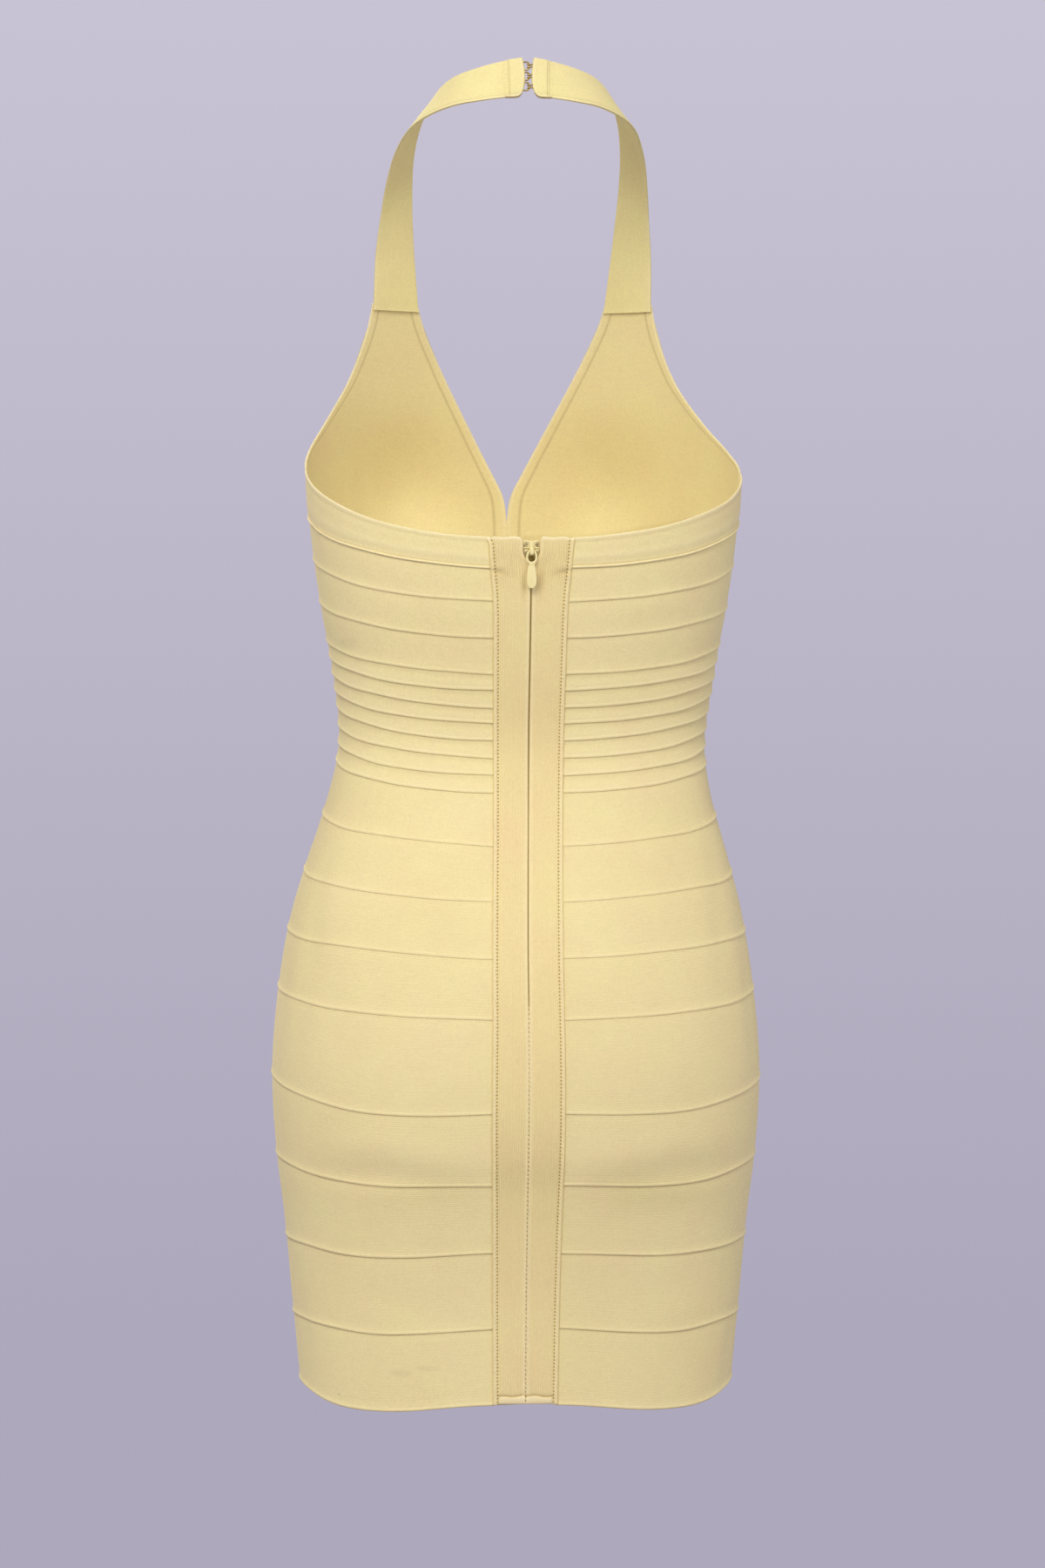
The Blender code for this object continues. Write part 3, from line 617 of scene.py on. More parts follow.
def knit(name, light, deep, axes, pitch, rib_shade, strength=0.32):
    """Fine ribbed knit: loops along each rib, a little fuzz, and soft uneven colour.

    The axes are those of the stored cloth that run along and across the ribs. Gives the
    shader, its colour, its painted light and shade, and its bump."""
    shader = Shader(name)
    cloth = shader.stored("cloth")
    along, across, ribs = cloth[axes[0]], cloth[axes[1]], cloth[2]
    lean = shader.math("PINGPONG", across, pitch / 2)
    loops = shader.math("SINE", (along + lean) * (TAU / STITCH_LONG))
    fuzz = shader.noise(2600.0, 2.0)
    bump = shader.bump(loops * 0.30 + fuzz, strength)
    way = shader.node("CombineXYZ", X=along * 0.10, Y=across * 0.55)
    streak = shader.noise(1.0, 3.0, 0.6, way)
    grain = shader.noise(800.0, 3.0, 0.6)
    cloudy = (shader.noise(13.0) - 0.2).clamped()
    uneven = ((shader.noise(420.0) - 0.5) * 0.50 + cloudy).clamped()
    value = (grain - 0.5) * 0.24 + (streak - 0.5) * 0.10 + (fuzz - 0.5) * 0.14 + 1.0
    hue = (shader.noise(34.0, 3.0, 0.6) - 0.5) * 0.030 + 0.5
    colour = shader.node("HueSaturation", Hue=hue, Value=value,
                         Color=shader.colour_mix(uneven, light, deep))
    # Painted shade in the ribs' valleys and painted highlight on their crests, added to the stored painted
    # light and shade.
    shade = ribs * (streak * 2.6 - 0.55).clamped() * rib_shade + shader.stored("trim_and_painted_shade")[1]
    return shader, colour, shade, bump


def finish_knit(shader, colour, bump, roughness, sheen=0.14, tint=SHEEN, specular=0.16):
    shader.set(Base_Color=colour, Normal=bump, Roughness=roughness, Sheen_Weight=sheen,
               Sheen_Roughness=0.45, Sheen_Tint=tint, Specular_IOR_Level=specular)


def bandage_knit():
    """The bands' knit, with faint flecks on the back."""
    shader, colour, shade, bump = knit("bandage_knit", CREAM, CREAM_DEEP, (0, 1), RIB_PITCH, 0.12)
    blotch = (shader.noise(90.0, 4.0, 0.7) * 1.6 - 0.45).clamped()
    mark = shader.spots(FLECKS) * blotch * 0.36 + shader.spot(*FLECK_DOT) * 0.6
    finish_knit(shader, shader.colour_mix(mark, shader.shaded(colour, shade), FLECK_BROWN), bump, 0.62)


def placket_knit():
    """The zip strips' knit, with needle holes and the dots of the closed seam."""
    shader, colour, shade, bump = knit("placket_knit", STRIP_CREAM, STRIP_DEEP, (1, 0), STRIP_RIB_PITCH, 0.19)
    down = shader.stored("cloth")[1]
    from_edge, _, by_seam = shader.stored("trim_and_painted_shade")
    off = (shader.math("FRACT", down / STITCH_PITCH) - 0.5) * (STITCH_PITCH / PINHOLE)
    away = (from_edge - PINHOLE_IN) / PINHOLE
    hole = (1.0 - (off * off + away * away)).clamped() * -1.2
    dots = shader.math("SINE", down * (TAU / SEAM_STITCH_PITCH)) * -0.62 - 0.16
    shade = shade + (by_seam * dots + hole)
    finish_knit(shader, shader.shaded(colour, shade), bump, 0.66, tint=STRIP_SHEEN)


def strap_knit():
    shader, colour, shade, bump = knit("strap_knit", STRAP_CREAM, STRAP_DEEP, (0, 1), 1.0, 0.0, 0.08)
    finish_knit(shader, shader.shaded(colour, shade), bump, 0.74, sheen=0.10, specular=0.05)


def thread(name, light, deep, roughness, sheen):
    shader = Shader(name)
    twist = shader.noise(3000.0, 2.0)
    shader.set(Base_Color=shader.colour_mix(twist, light, deep), Roughness=roughness,
               Sheen_Weight=sheen, Normal=shader.bump(twist, 0.4))


def zip_tape():
    """Olive tape, with painted light at its top and beside the slit, painted shade between the coil's ends,
    and darker below the pull.
    """
    shader = Shader("zip_tape")
    weave = shader.noise(2200.0, 2.0)
    across, _, up = shader.split(shader.place())
    at_top = (up * 250.0 + 78.7).clamped()
    beside = (shader.math("ABSOLUTE", across) * 800.0 - 2.4).clamped()
    below = (up * -250.0 - 80.0).clamped()
    olive = shader.colour_mix(weave, TAPE_OLIVE, TAPE_DEEP)
    olive = shader.colour_mix(below * 0.6, olive, TAPE_DEEP)
    # Painted light at the top and beside the slit, where the tape lies in the notch's shade.
    colour = shader.colour_mix(shader.math("MAXIMUM", at_top, beside) * 0.9, olive, TAPE_PAINTED_LIGHT)
    hollow = (shader.spots(TAPE_HOLLOWS) * 0.95).clamped()
    shader.set(Base_Color=shader.colour_mix(hollow, colour, TAPE_SHADE), Roughness=0.8,
               Normal=shader.bump(weave, 0.5, 0.0002))


def zip_enamel():
    shader = Shader("zip_enamel")
    worn = shader.noise(500.0, 4.0, 0.6)
    shader.set(Base_Color=shader.colour_mix(worn, ENAMEL, ENAMEL_WORN), Roughness=worn * 0.22 + 0.24,
               Coat_Weight=0.25, Coat_Roughness=0.2, Normal=shader.bump(shader.noise(2500.0, 2.0), 0.12))


def hook_brass():
    shader = Shader("hook_brass")
    worn = shader.noise(900.0, 4.0, 0.65)
    shader.set(Base_Color=shader.colour_mix(worn, BRASS, BRASS_WORN), Roughness=worn * 0.35 + 0.20,
               Metallic=1.0, Normal=shader.bump(worn, 0.2))


def make_materials():
    bandage_knit()
    placket_knit()
    strap_knit()
    thread("brown_thread", BROWN_THREAD, SHADOW, 0.6, 0.0)
    thread("thread", THREAD, CREAM_DEEP, 0.55, 0.3)
    zip_tape()
    zip_enamel()
    hook_brass()


# ------------------------------------------------------------------ pieces

STRETCH = 1.12                  # how much wider the knit is worn than cut
NARROWEST = 0.010               # least side of a sheet, in metres


def extra_piece(obj, body="dress", nodes=()):
    """Attaches a piece to its body, and hides the solids that it replaces."""
    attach(obj, body)
    if nodes:
        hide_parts(*nodes)


def cloth_piece(obj, wide_mm, tall_mm, slot, nodes=(), area=None):
    """Attaches one sheet of stretched knit to the dress and hides the solids that it replaces; its flat size
    is worked out but not used.
    """
    extra_piece(obj, nodes=nodes)
    flat = (round(wide_mm / STRETCH * MM, 3), round(tall_mm * MM, 3))
    flat = tuple(max(v, NARROWEST) for v in flat)
    if area is None:
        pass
    else:
        round(area / STRETCH, 5)


# ------------------------------------------------------------------ bands

TUCK_UP = 2.8                   # a band's top edge goes this far behind the one above
TUCK_IN = 1.8                   # a band's end goes this far under the zip strip
LIP = 1.15                      # inner lift of a lower edge, over the tucked edge
LIP_TALL = 2.9
BAND_LIFT = 1.0                 # outer face of a band, above its inner face
RIM_LIFT = 1.35                 # the same on the top band
END_LIFT = 0.92                 # the outer face is pressed down to this at a band's ends
TUCKED_LIFTS = (0.45, 0.95)     # a tucked top edge, at a band's ends and between them
LIP_END = 0.55
ROLL = 0.62
RIM_ROLL = 0.9
PIPE = 0.80                     # radius of the piping under the top band
ROWS_A_RIB = 4
BACK_COLUMNS = 34
FRONT_COLUMNS = 54
SAMPLES = 60                    # points on a line whose length is measured
OUTER, TUCKED, UNDER_LIP, INNER = range(4)      # where a row of a band's section is
# z, height of the ribs at that level
RIB_HIGH = np.array((
    (-300, 0.010),
    (-480, 0.018),
    (-560, 0.048),
    (-700, 0.056),
    (-800, 0.036),
    (-870, 0.026),
))
# z, how strongly the seam line at that level is shaded
SEAM_DARK = np.array((
    (-300, 0.9),
    (-343, 0.9),
    (-365, 1.2),
    (-387, 1.0),
    (-397, 0.7),
    (-427, 0.55),
    (-457, 0.15),
    (-489, 0.15),
    (-523, -0.2),
    (-558, -0.1),
    (-597, 0.25),
    (-655, 0.6),
    (-700, 1.3),
    (-870, 1.3),
))


def profile_outer(kind, high, below, above):
    """Lift of a band's outer face, by mm below its top line and above its lower edge."""
    if kind == "rim":
        return RIM_LIFT + bells(above, ((7.2, 2.6, 0.40), (13, 3, 0.15))) + 0.15 * ease((high - above) / 10)
    lip = 0.24 * np.sin(HALF * np.clip(above / 2.2, 0, 1))
    if kind == "strip":
        return BAND_LIFT + 0.52 * ease((below - 0.8) / (high - 3.6)) + lip
    return BAND_LIFT + 0.15 * ease(below / 6) + 0.16 * ease((7 - above) / 5) + lip


def seam_dark(number, beside):
    """Strength of the painted shadow line under a seam's lip, round the dress; weaker at the sides down to
    the hips.
    """
    z = SEAMS[number, 0]
    return table_value(SEAM_DARK, z) * (1 - 0.8 * beside * ease((z + 700) / 60))


def band_shade(kind, high, above, upper_dark, lower_dark):
    """Painted light above 0, or painted shade below 0, on a band at mm above its lower edge: highlights on
    its lip and rolled edges, shadow lines at its seams.
    """
    below = high - above
    if kind == "rim":
        top = bells(below, ((0.2, 1.3, 0.35), (2.3, 0.6, -0.08)))
        return top + bells(above, ((0.85, 0.6, 0.40), (0, 0.35, -0.22), (2.2, 0.6, -0.14), (7.0, 1.8, 0.12)))
    lines = 0.34 * bell(above, 0.48) * lower_dark + 0.26 * bell(below, 0.60) * upper_dark
    if kind == "strip":
        return bells(above, ((3.4, 2.2, 0.10), (1.35, 0.65, 0.20))) - 0.08 * bell(below - 1.4, 1.6) - lines
    return 0.13 * bell(above - 1.35, 0.65) - lines


def figure_shade(turn, nominal, points):
    """Painted shade on a band in the hollows of the waist's sides, and a painted shadow under the seat."""
    x, z = points[..., 0] / MM, points[..., 2] / MM
    waist = 0.23 * bell(np.abs(turn) - QUARTER, 0.34) * bell(nominal + 495, 88)
    on_right = 0.21 * bell(x + 74, 46) * bell(z + 724, 14)
    on_left = 0.15 * bell(x - 62, 36) * bell(z + 725, 10)
    return waist + (on_right + on_left) * (np.cos(turn) > 0)


def band_rows(kind, high):
    """Rows round a band's section: mm above the lower edge, lift, rib share, where it is."""
    rim = kind == "rim"
    ribs = max(round(high / RIB_PITCH), 2)
    stop = 2 * PIPE + 0.35 if rim else ROLL + 0.2
    first = 3.2 if rim else 0.0
    below = np.arange(ribs * ROWS_A_RIB + 1) * high / (ribs * ROWS_A_RIB)
    below = below[(high - below > stop) & (below >= first)]
    above = high - below
    if kind == "strip":
        strength = 0.75 * ease(below / 1.0) * ease((above - 1.0) / 1.2)
    elif rim:
        strength = 0.6 * ease((below - first) / 1.5) * ease((above - 3.2) / 1.5)
    else:
        strength = ease(below / 1.2) * (0.2 + 0.8 * ease((above - 2.2) / 1.5))
    ribbed = -np.cos(TAU * below * ribs / high) * strength
    rows = []
    if rim:
        for a in np.radians((-90, -60, -30, 0, 30, 60, 90)):
            rows.append((high - RIM_ROLL * (1 - math.cos(a)), 1.1 + 0.7 * math.sin(a), 0, OUTER))
        rows += [(high - 1.6, 1.76, 0, OUTER), (high - 2.4, 1.62, 0, OUTER)]
    else:
        for past, lift in ((TUCK_UP, 0.45), (TUCK_UP - 0.4, 0.92), (1.2, 0.95), (0.5, 0.95)):
            rows.append((high + past, lift, 0, TUCKED))
    rows += zip(above, profile_outer(kind, high, below, above), ribbed, [OUTER] * len(above))
    if rim:
        for a in np.radians((0, 25, 50, 75, 100, 125, 150, 175)):
            rows.append((PIPE * (1 + math.cos(a)), RIM_LIFT + PIPE * math.sin(a), 0, OUTER))
        rows.append((0.3, LIP, 0, UNDER_LIP))
    else:
        outer = float(profile_outer(kind, high, high - ROLL, ROLL))
        middle, radius = (outer + LIP) / 2, (outer - LIP) / 2
        for a, where in zip(np.radians((0, 30, 60, 90, 120, 150)), [OUTER] * 2 + [UNDER_LIP] * 4):
            rows.append((ROLL * (1 - math.sin(a)), middle + radius * math.cos(a), 0, where))
        rows.append((ROLL, LIP, 0, UNDER_LIP))
    rows.append((LIP_TALL, LIP, 0, UNDER_LIP))
    rows.append((min(LIP_TALL + 2.2, high * 0.6), 0.15, 0, INNER))
    rows.append((high * 0.5 + 0.6, 0.0, 0, INNER))
    rows.append((high - 0.8 - RIM_ROLL * rim, 0.0, 0, INNER))
    if not rim:
        rows.append((high + TUCK_UP - 0.5, 0.05, 0, INNER))
    return np.array(rows)


def band(name, number, turns_at, ends, kind):
    """A band's shell. turns_at(z) gives the turns of its columns at a nominal height;
    ends is how far each column is clear of the piece's ends, from 0 to 1."""
    upper, lower = number - 1, number
    high = SEAMS[upper, 0] - SEAMS[lower, 0] - GAP
    above, lift, rib, where = band_rows(kind, high).T[:, :, None]
    nominal = SEAMS[lower, 0] + GAP / 2 + above
    turn = turns_at(nominal)
    top = seam_height(upper, turn) - GAP / 2
    bottom = seam_height(lower, turn) + GAP / 2
    start, reach = (2.0, 6.0) if kind == "strip" else (3.0, 8.0)
    stretch = mix(1.0, (top - bottom) / high, ease((above - start) / reach))
    z = np.where(above > high, top + above - high, bottom + above * stretch)

    outer = np.where(lift > END_LIFT, mix(END_LIFT, lift, ends), lift)
    tucked = np.minimum(lift, mix(*TUCKED_LIFTS, ends))
    lip = np.minimum(lift, mix(LIP_END, np.maximum(lift, LIP), ends))
    level = np.select([where == TUCKED, where == UNDER_LIP], [tucked, lip], outer)
    ribs = rib * table_value(RIB_HIGH, nominal) * ends
    beside = np.sin(turn) ** 2
    uneven = 0.65 + 0.55 * beside + 0.25 * np.sin(turn * 37 + nominal * 0.09)
    swell = 0.38 * bell(above - 1.5, 1.6) * beside * ends * (where == OUTER)
    points = lifted(turn, z, level + ribs * uneven + swell)

    # Painted light and shade: highlights and seam shadow lines, a painted shadow along the hem's lower edge,
    # and painted shade at the waist's sides and under the seat.
    patchy = 0.80 + 0.30 * np.sin(turn * 9 + number * 1.7) * np.sin(turn * 23 + number)
    dark = seam_dark(upper, beside), seam_dark(lower, beside)
    shade = band_shade(kind, high, above, *dark) * patchy
    if number == HEM:
        shade = shade - 0.55 * bell(above, 0.30)
    shade = shade - figure_shade(turn, nominal, points) * (where == OUTER)
    cloth = stacked(turn * RADIAN_MM, SEAMS[upper, 0] - nominal, ribs / RIB_HIGH[:, 1].max())
    obj = loft(name, points.swapaxes(0, 1), "bandage_knit",
               cloth.swapaxes(0, 1), stacked(0, shade, 0).swapaxes(0, 1))
    middle = int(np.argmin(np.abs(above[: len(above) // 2] - high / 2)))
    return obj, arc_mm(points[middle]), float((top - bottom)[middle].mean())


def spaced(length, near, far, count):
    """Column positions along a length: close together at both ends."""
    middle = np.linspace(near[-1], length - far[-1], count + 1)[1:-1]
    return np.concatenate((near, middle, length - np.array(far)[::-1]))


NEAR_STRIP = (0.0, 1.0, 1.8, 2.2, 2.7, 3.3, 4.6)
NEAR_SIDE = (0.0, 0.4, 0.9, 1.5, 3.0)


def back_band(name, number, side, kind):
    z = SEAMS[number, 0]
    turns = np.linspace(turn_at_x(placket_half(z), z), side_turn(z), SAMPLES)
    length = arc_mm(lifted(turns, z, BAND_LIFT))
    places = spaced(length + TUCK_IN, NEAR_STRIP, NEAR_SIDE, BACK_COLUMNS)
    shares = places / places[-1]
    ends = ease((places - 0.8) / 1.2) * ease((places[-1] - places) / 1.6)

    def turns_at(nominal):
        inner = turn_at_x(placket_half(nominal) - TUCK_IN, nominal)
        return side * mix(inner, side_turn(nominal), shares)

    return band(name, number, turns_at, ends, kind)


def front_band(name, number, kind):
    z = SEAMS[number, 3]
    length = arc_mm(lifted(np.linspace(side_turn(z, True), HALF, SAMPLES), z, BAND_LIFT))
    places = spaced(2 * length, NEAR_SIDE, NEAR_SIDE, FRONT_COLUMNS)
    shares = places / length
    ends = ease(places / 1.6) * ease((places[-1] - places) / 1.6)

    def turns_at(nominal):
        start = side_turn(nominal, True)
        on_left = mix(start, HALF, np.minimum(shares, 1.0))
        on_right = -mix(start, HALF, np.minimum(2 - shares, 1.0))
        return np.where(shares <= 1.0, on_left, on_right)

    return band(name, number, turns_at, ends, kind)


def make_bands():
    for number in range(1, len(SEAMS)):
        waist = WAIST_FIRST < number <= WAIST_LAST
        kind = "strip" if waist else "rim" if number == 1 else "band"
        for place in ("back_left", "back_right", "front"):
            if number == 1 and place == "front":
                continue
            name = "knit_%02d_%s" % (number, place)
            if place == "front":
                made = front_band(name, number, kind)
            else:
                made = back_band(name, number, 1 if place == "back_left" else -1, kind)
            nodes = ()
            if not waist:
                nodes = ("band_%02d_%s" % (number, place),)
            elif number == WAIST_FIRST + 1:
                nodes = ("waist_strips_" + place,)
            cloth_piece(*made, "bandage_knit", nodes)


# ------------------------------------------------------------------ zip strips

SLIT_ROLL = 0.8
SLIT_GAP = 0.30                 # half the open slit under the slider
SLIT_END_GAP = 0.16             # the same at the zip's end
SEAM_GAP = 0.0                  # and half the closed seam below it
EDGE_ROLL = 0.7
MARGIN = 4.4
STRIP_RIBS = 13
STRIP_RIB_HIGH = 0.085
STRIP_WIDE = 23.0
STRIP_LIFT = 2.4                # outer face
FOLD_TALL = 5.3                 # turned-up hem
FOLD_HALF = 17.5
# Columns of a strip's section: on its roll at the slit, in from its outer edge, and on that
# edge's roll; then how many are on its inner face.
SLIT_TURNS = np.radians((-90, -60, -30, 0, 30, 60))
EDGE_IN = np.array((3.9, 3.4, 3.0, 2.6, 2.2, 1.8, 1.4, 1.05))
EDGE_TURNS = np.radians((90, 60, 30, 0, -30, -60, -90))
INNER_COLUMNS = 4
MEASURED_COLUMN = 30


def notch_half(z):
    """Half the gap between the strips."""
    down = PLACKET_TOP - z
    slit = mix(SLIT_GAP, SLIT_END_GAP, ease((down - 60) / 200)) * (1 - 0.45 * bell(z + 492, 26))
    slit = mix(slit, SEAM_GAP, ease((ZIP_END + 4 - z) / 8))
    closing = ease((down - NOTCH_DEEP) / (NOTCH_CLOSED - NOTCH_DEEP))
    return mix(NOTCH_HALF + 1.9 * bell(down, 1.5), slit, closing)


def strip_levels():
    """Heights of a strip's rings, close together at its top, its turned-up hem and its end."""
    fold = PLACKET_HEM + FOLD_TALL
    upper = PLACKET_TOP - np.arange(3.6, 40.0, 0.8)
    return np.concatenate((
        PLACKET_TOP - np.array((0, 0.15, 0.4, 0.8, 1.3, 2.0, 2.8)),
        upper,
        np.linspace(upper[-1] - 2.5, fold + 4, 170),
        fold + np.array((2.4, 1.4, 0.9, 0.5, 0.1, -0.3, -0.7, -1.2, -2.0, -3.0, -3.8)),
        PLACKET_HEM + np.array((1.1, 0.8, 0.4, 0.15, 0)),
    ))


def strip_relief(side, x, z, half):
    """Ripples and gathers at the flared top of a strip."""
    inward = half - x
    ripple = 0.14 * np.sin(x * 0.55 + 1.1 * side + 0.10 * (z + 303)) * ease((z + 332) / 16)
    fold = bell(inward - 4.0, 4.5) * bell(z + 324.3 + 0.12 * inward, 1.5)
    above = bell(inward - 6.5, 5.0) * bell(z + 320.8, 2.4)
    below = bell(inward - 5.5, 4.5) * bell(z + 328.4, 2.2)
    beside_pull = 0.35 * bell(x - 5.6, 2.2) * bell(z + 331, 7)
    return ripple + 0.28 * above - 0.80 * fold + 0.22 * below - beside_pull


def strip_shade(side, x, z, half, slit, fold, fold_top):
    """Painted light above 0, or painted shade below 0, on a zip strip: highlights on its edges, lips and
    turned-up hem, shade in its trough, slit and gathers, and the pull's painted shadow.
    """
    inward, past = half - x, x - slit
    edge = bells(inward, ((1.3, 0.8, 0.26), (0, 0.35, -0.08), (PINHOLE_IN, 0.5, -0.06)))
    lips = 0.30 * bell(past - 1.35, 0.75) - 0.50 * bell(past, 0.40) * ease((z - ZIP_END) / 4 + 1)
    lips = lips + 0.32 * bell(past, 0.55) * bell(z + 640, 26)
    gather_and_pull_shadow = -0.27 * bell(inward - 5.0, 8.0) * bell(z + 324.8 + 0.10 * inward, 2.6)
    # The pull's painted shadow, on each side of it.
    if side > 0:
        gather_and_pull_shadow = gather_and_pull_shadow - 0.34 * bell(x - 4.6, 1.7) * bell(z + 334.0, 6.0)
    else:
        gather_and_pull_shadow = gather_and_pull_shadow - 0.46 * bell(x - 5.8, 2.4) * bell(z + 331.5, 7.0)
    hem = 0.38 * fold - 0.80 * bell(z - fold_top - 0.55, 0.45) * (x < FOLD_HALF + 0.6)
    hem = hem - 0.35 * fold * bell(x, 0.6)
    # Painted highlight along the top edge, painted shade below the notch and at the seat's height, and a
    # painted shadow line at the hem.
    level = bells(z, (
        (PLACKET_TOP - 0.5, 1.1, 0.55), (-316, 10, -0.12), (-706, 32, -0.16), (PLACKET_HEM, 0.3, -0.35),
    ))
    return edge + lips + gather_and_pull_shadow + hem + level


def strip_ring(side, z):
    """A zip strip's ring at one height: its points, its stored cloth, and its stored trim with its painted
    light and shade.
    """
    slit, half = float(notch_half(z)), float(placket_half(z))
    if side > 0:
        half += 1.3 * float(bell(z - PLACKET_TOP + 1.0, 2.2))
    closed = ease((ZIP_END - z) / 6)
    share = np.linspace(0, 1, STRIP_RIBS * ROWS_A_RIB + 1)
    x = mix(SLIT_GAP + SLIT_ROLL, half - MARGIN, share) + (slit - SLIT_GAP) * (1 - share) ** 3
    fold_top = PLACKET_HEM + FOLD_TALL - 0.6 * (x / FOLD_HALF) ** 2 + 0.40 * np.sin(x * 0.45 + side)
    fold = ease((fold_top - z) / 0.9) * ease((FOLD_HALF + 0.6 - x) / 1.2)
    strong = 0.62 + bells(z, ((-314, 13, 0.22), (PLACKET_HEM + 13, 9, 0.5)))
    strong = strong * (1 - fold) * ease((PLACKET_TOP - z - 1.0) / 1.5)
    wave = -np.cos(TAU * np.arange(len(x)) / ROWS_A_RIB) * strong
    folded = 0.50 * np.sin(HALF * np.clip((z - PLACKET_HEM) / 6, 0, 1)) * fold
    over_fold = 0.30 * bell(z - fold_top - 0.9, 0.9) * ease((FOLD_HALF - x) / 1.2)
    lift = STRIP_LIFT + STRIP_RIB_HIGH * wave + folded - over_fold
    wander = 0.30 * np.sin((z + 303) * 0.42 + x * 0.35) * ease((z + 330) / 14)
    x = x + wander * ease((x - slit - 1.5) / 3) * ease((half - MARGIN - x) / 3)

    xs = np.concatenate((
        slit + SLIT_ROLL * mix(1.0, 0.4, closed) * (1 - np.cos(SLIT_TURNS)),
        x,
        half - EDGE_IN,
        half - EDGE_ROLL + EDGE_ROLL * np.cos(EDGE_TURNS),
    ))
    lifts = np.concatenate((
        mix(1.70, 2.05, closed) + mix(0.80, 0.32, closed) * np.sin(SLIT_TURNS),
        lift,
        STRIP_LIFT + bells(EDGE_IN, ((1.3, 0.8, 0.30), (TROUGH_IN + 0.3, 0.6, -0.50))),
        1.87 + 0.72 * np.sin(EDGE_TURNS),
    ))
    lifts = lifts + strip_relief(side, xs, z, half) * ease((lifts - 1.2) / 0.8)
    before, after = len(SLIT_TURNS), len(EDGE_IN) + len(EDGE_TURNS)
    folds = np.pad(np.pad(fold, (before, 0), "edge"), (0, after))
    tops = np.pad(fold_top, (before, after), "edge")
    ribs = np.pad(wave, (before, after + INNER_COLUMNS))
    shade = strip_shade(side, xs, z, half, slit, folds, tops)
    # The inner face gets painted shade.
    shade = np.pad(shade, (0, INNER_COLUMNS), constant_values=-0.2)
    seam = np.pad(bell(xs - slit, 0.65) * ease((ZIP_END - z) / 5), (0, INNER_COLUMNS))
    lobes = 0.6 * ease((PLACKET_HEM + 5 - z) / 5) * ease((xs - FOLD_HALF) / 1.5)
    lobes = np.append(lobes, np.full(INNER_COLUMNS, 0.8 * ease((z - PLACKET_TOP + 3) / 3)))

    xs = np.append(xs, (half - 2.6, half - 4.6, mix(slit, half, 0.5), slit + 2.0))
    lifts = np.append(lifts, (LIP, 0.15, 0.0, 0.1))
    lifts = mix(1.5, lifts, rounded(min(PLACKET_TOP - z, z - PLACKET_HEM), 0.03))
    wavy = 0.28 * np.sin(xs * 0.5 + 2 * side) + 0.06 * np.sin(xs * 1.9)
    level = z + wavy * ease((z - PLACKET_TOP + 6) / 6) - lobes
    level = level - 0.35 * bell(xs - half, 3) * bell(z - PLACKET_TOP, 3)
    points = lifted(side * turn_at_x(np.maximum(xs, 0.0), level), level, lifts)
    return points, stacked(xs * side, z, ribs), stacked(half - xs, shade, seam)


def make_zip_strips():
    for side, word in SIDES:
        made = [strip_ring(side, z) for z in strip_levels()]
        rings, cloth, trim_and_painted_shade = (np.array(part) for part in zip(*made))
        obj = loft("strip_" + word, rings, "placket_knit", cloth, trim_and_painted_shade)
        tall = arc_mm(rings[:, MEASURED_COLUMN])
        cloth_piece(obj, STRIP_WIDE * STRETCH, tall, "placket_knit", ("zip_strip_" + word,))


# ------------------------------------------------------------------ zip and stitches

TAPE_TOP = -305.0
TAPE_HALF = 7.0
TAPE_LEVELS = 120
# share of the half width, lift
TAPE_SECTION = np.array((
    (-1, -1.2), (-0.95, -1.0), (-0.5, -1.0), (0, -1.0), (0.5, -1.0), (0.95, -1.0),
    (1, -1.2), (0.95, -1.4), (0.5, -1.4), (0, -1.4), (-0.5, -1.4), (-0.95, -1.4),
))
TAPE_MIDDLE = 3
COIL_PITCH = 1.3
COIL_TOP = -313.0
COIL_REACH = np.array((0.15, 1.7))
COIL_LIFT = 0.30
COIL_RADIUS = 0.30
CHAIN_TOP = -322.0              # from here down the coil shows in the slit
CHAIN_HALF = np.array((0.70, -0.70))
CHAIN_LIFT = 1.48
TO_BACK = (0, 1, 0)

LOOP_OUT = 1.55                 # a stitch's two ends, in from a zip strip's outer edge
LOOP_IN = 2.45
LOOP_DROP = 0.95
LOOP_LIFTS = np.array((2.55, 2.15))
LOOP_ABOVE = 3.6
SEAM_BESIDE = 0.62              # stitches beside the closed seam
SEAM_HALF_LONG = np.array((0.55, -0.55))
SEAM_LIFT = 2.34


def make_zip():
    """Tape behind the slit, and the two rows of coil that meet on it."""
    share, lifts = TAPE_SECTION.T
    xs = share * TAPE_HALF
    levels = np.linspace(TAPE_TOP, ZIP_END, TAPE_LEVELS)
    rings = np.array([lifted(np.sign(xs) * turn_at_x(np.abs(xs), z), z, lifts) for z in levels])
    tape = loft("tape", rings, "zip_tape")
    tall = arc_mm(rings[:, TAPE_MIDDLE])
    cloth_piece(tape, 2 * TAPE_HALF * STRETCH, tall, "placket_knit", ("zip_tape",))

    pairs = []
    for z in np.arange(COIL_TOP, ZIP_END + 1, -COIL_PITCH):
        for side, _ in SIDES:
            down = z - COIL_PITCH / 2 * (side < 0)
            pairs.append(lifted(side * turn_at_x(COIL_REACH, down), down, COIL_LIFT))
    for z in np.arange(CHAIN_TOP, ZIP_END + 1, -COIL_PITCH):
        pairs.append(lifted(0.0, z + CHAIN_HALF, CHAIN_LIFT))
    coil = capsules("coil", pairs, TO_BACK, radius=COIL_RADIUS, arch=0.05, material="zip_tape")
    extra_piece(coil)


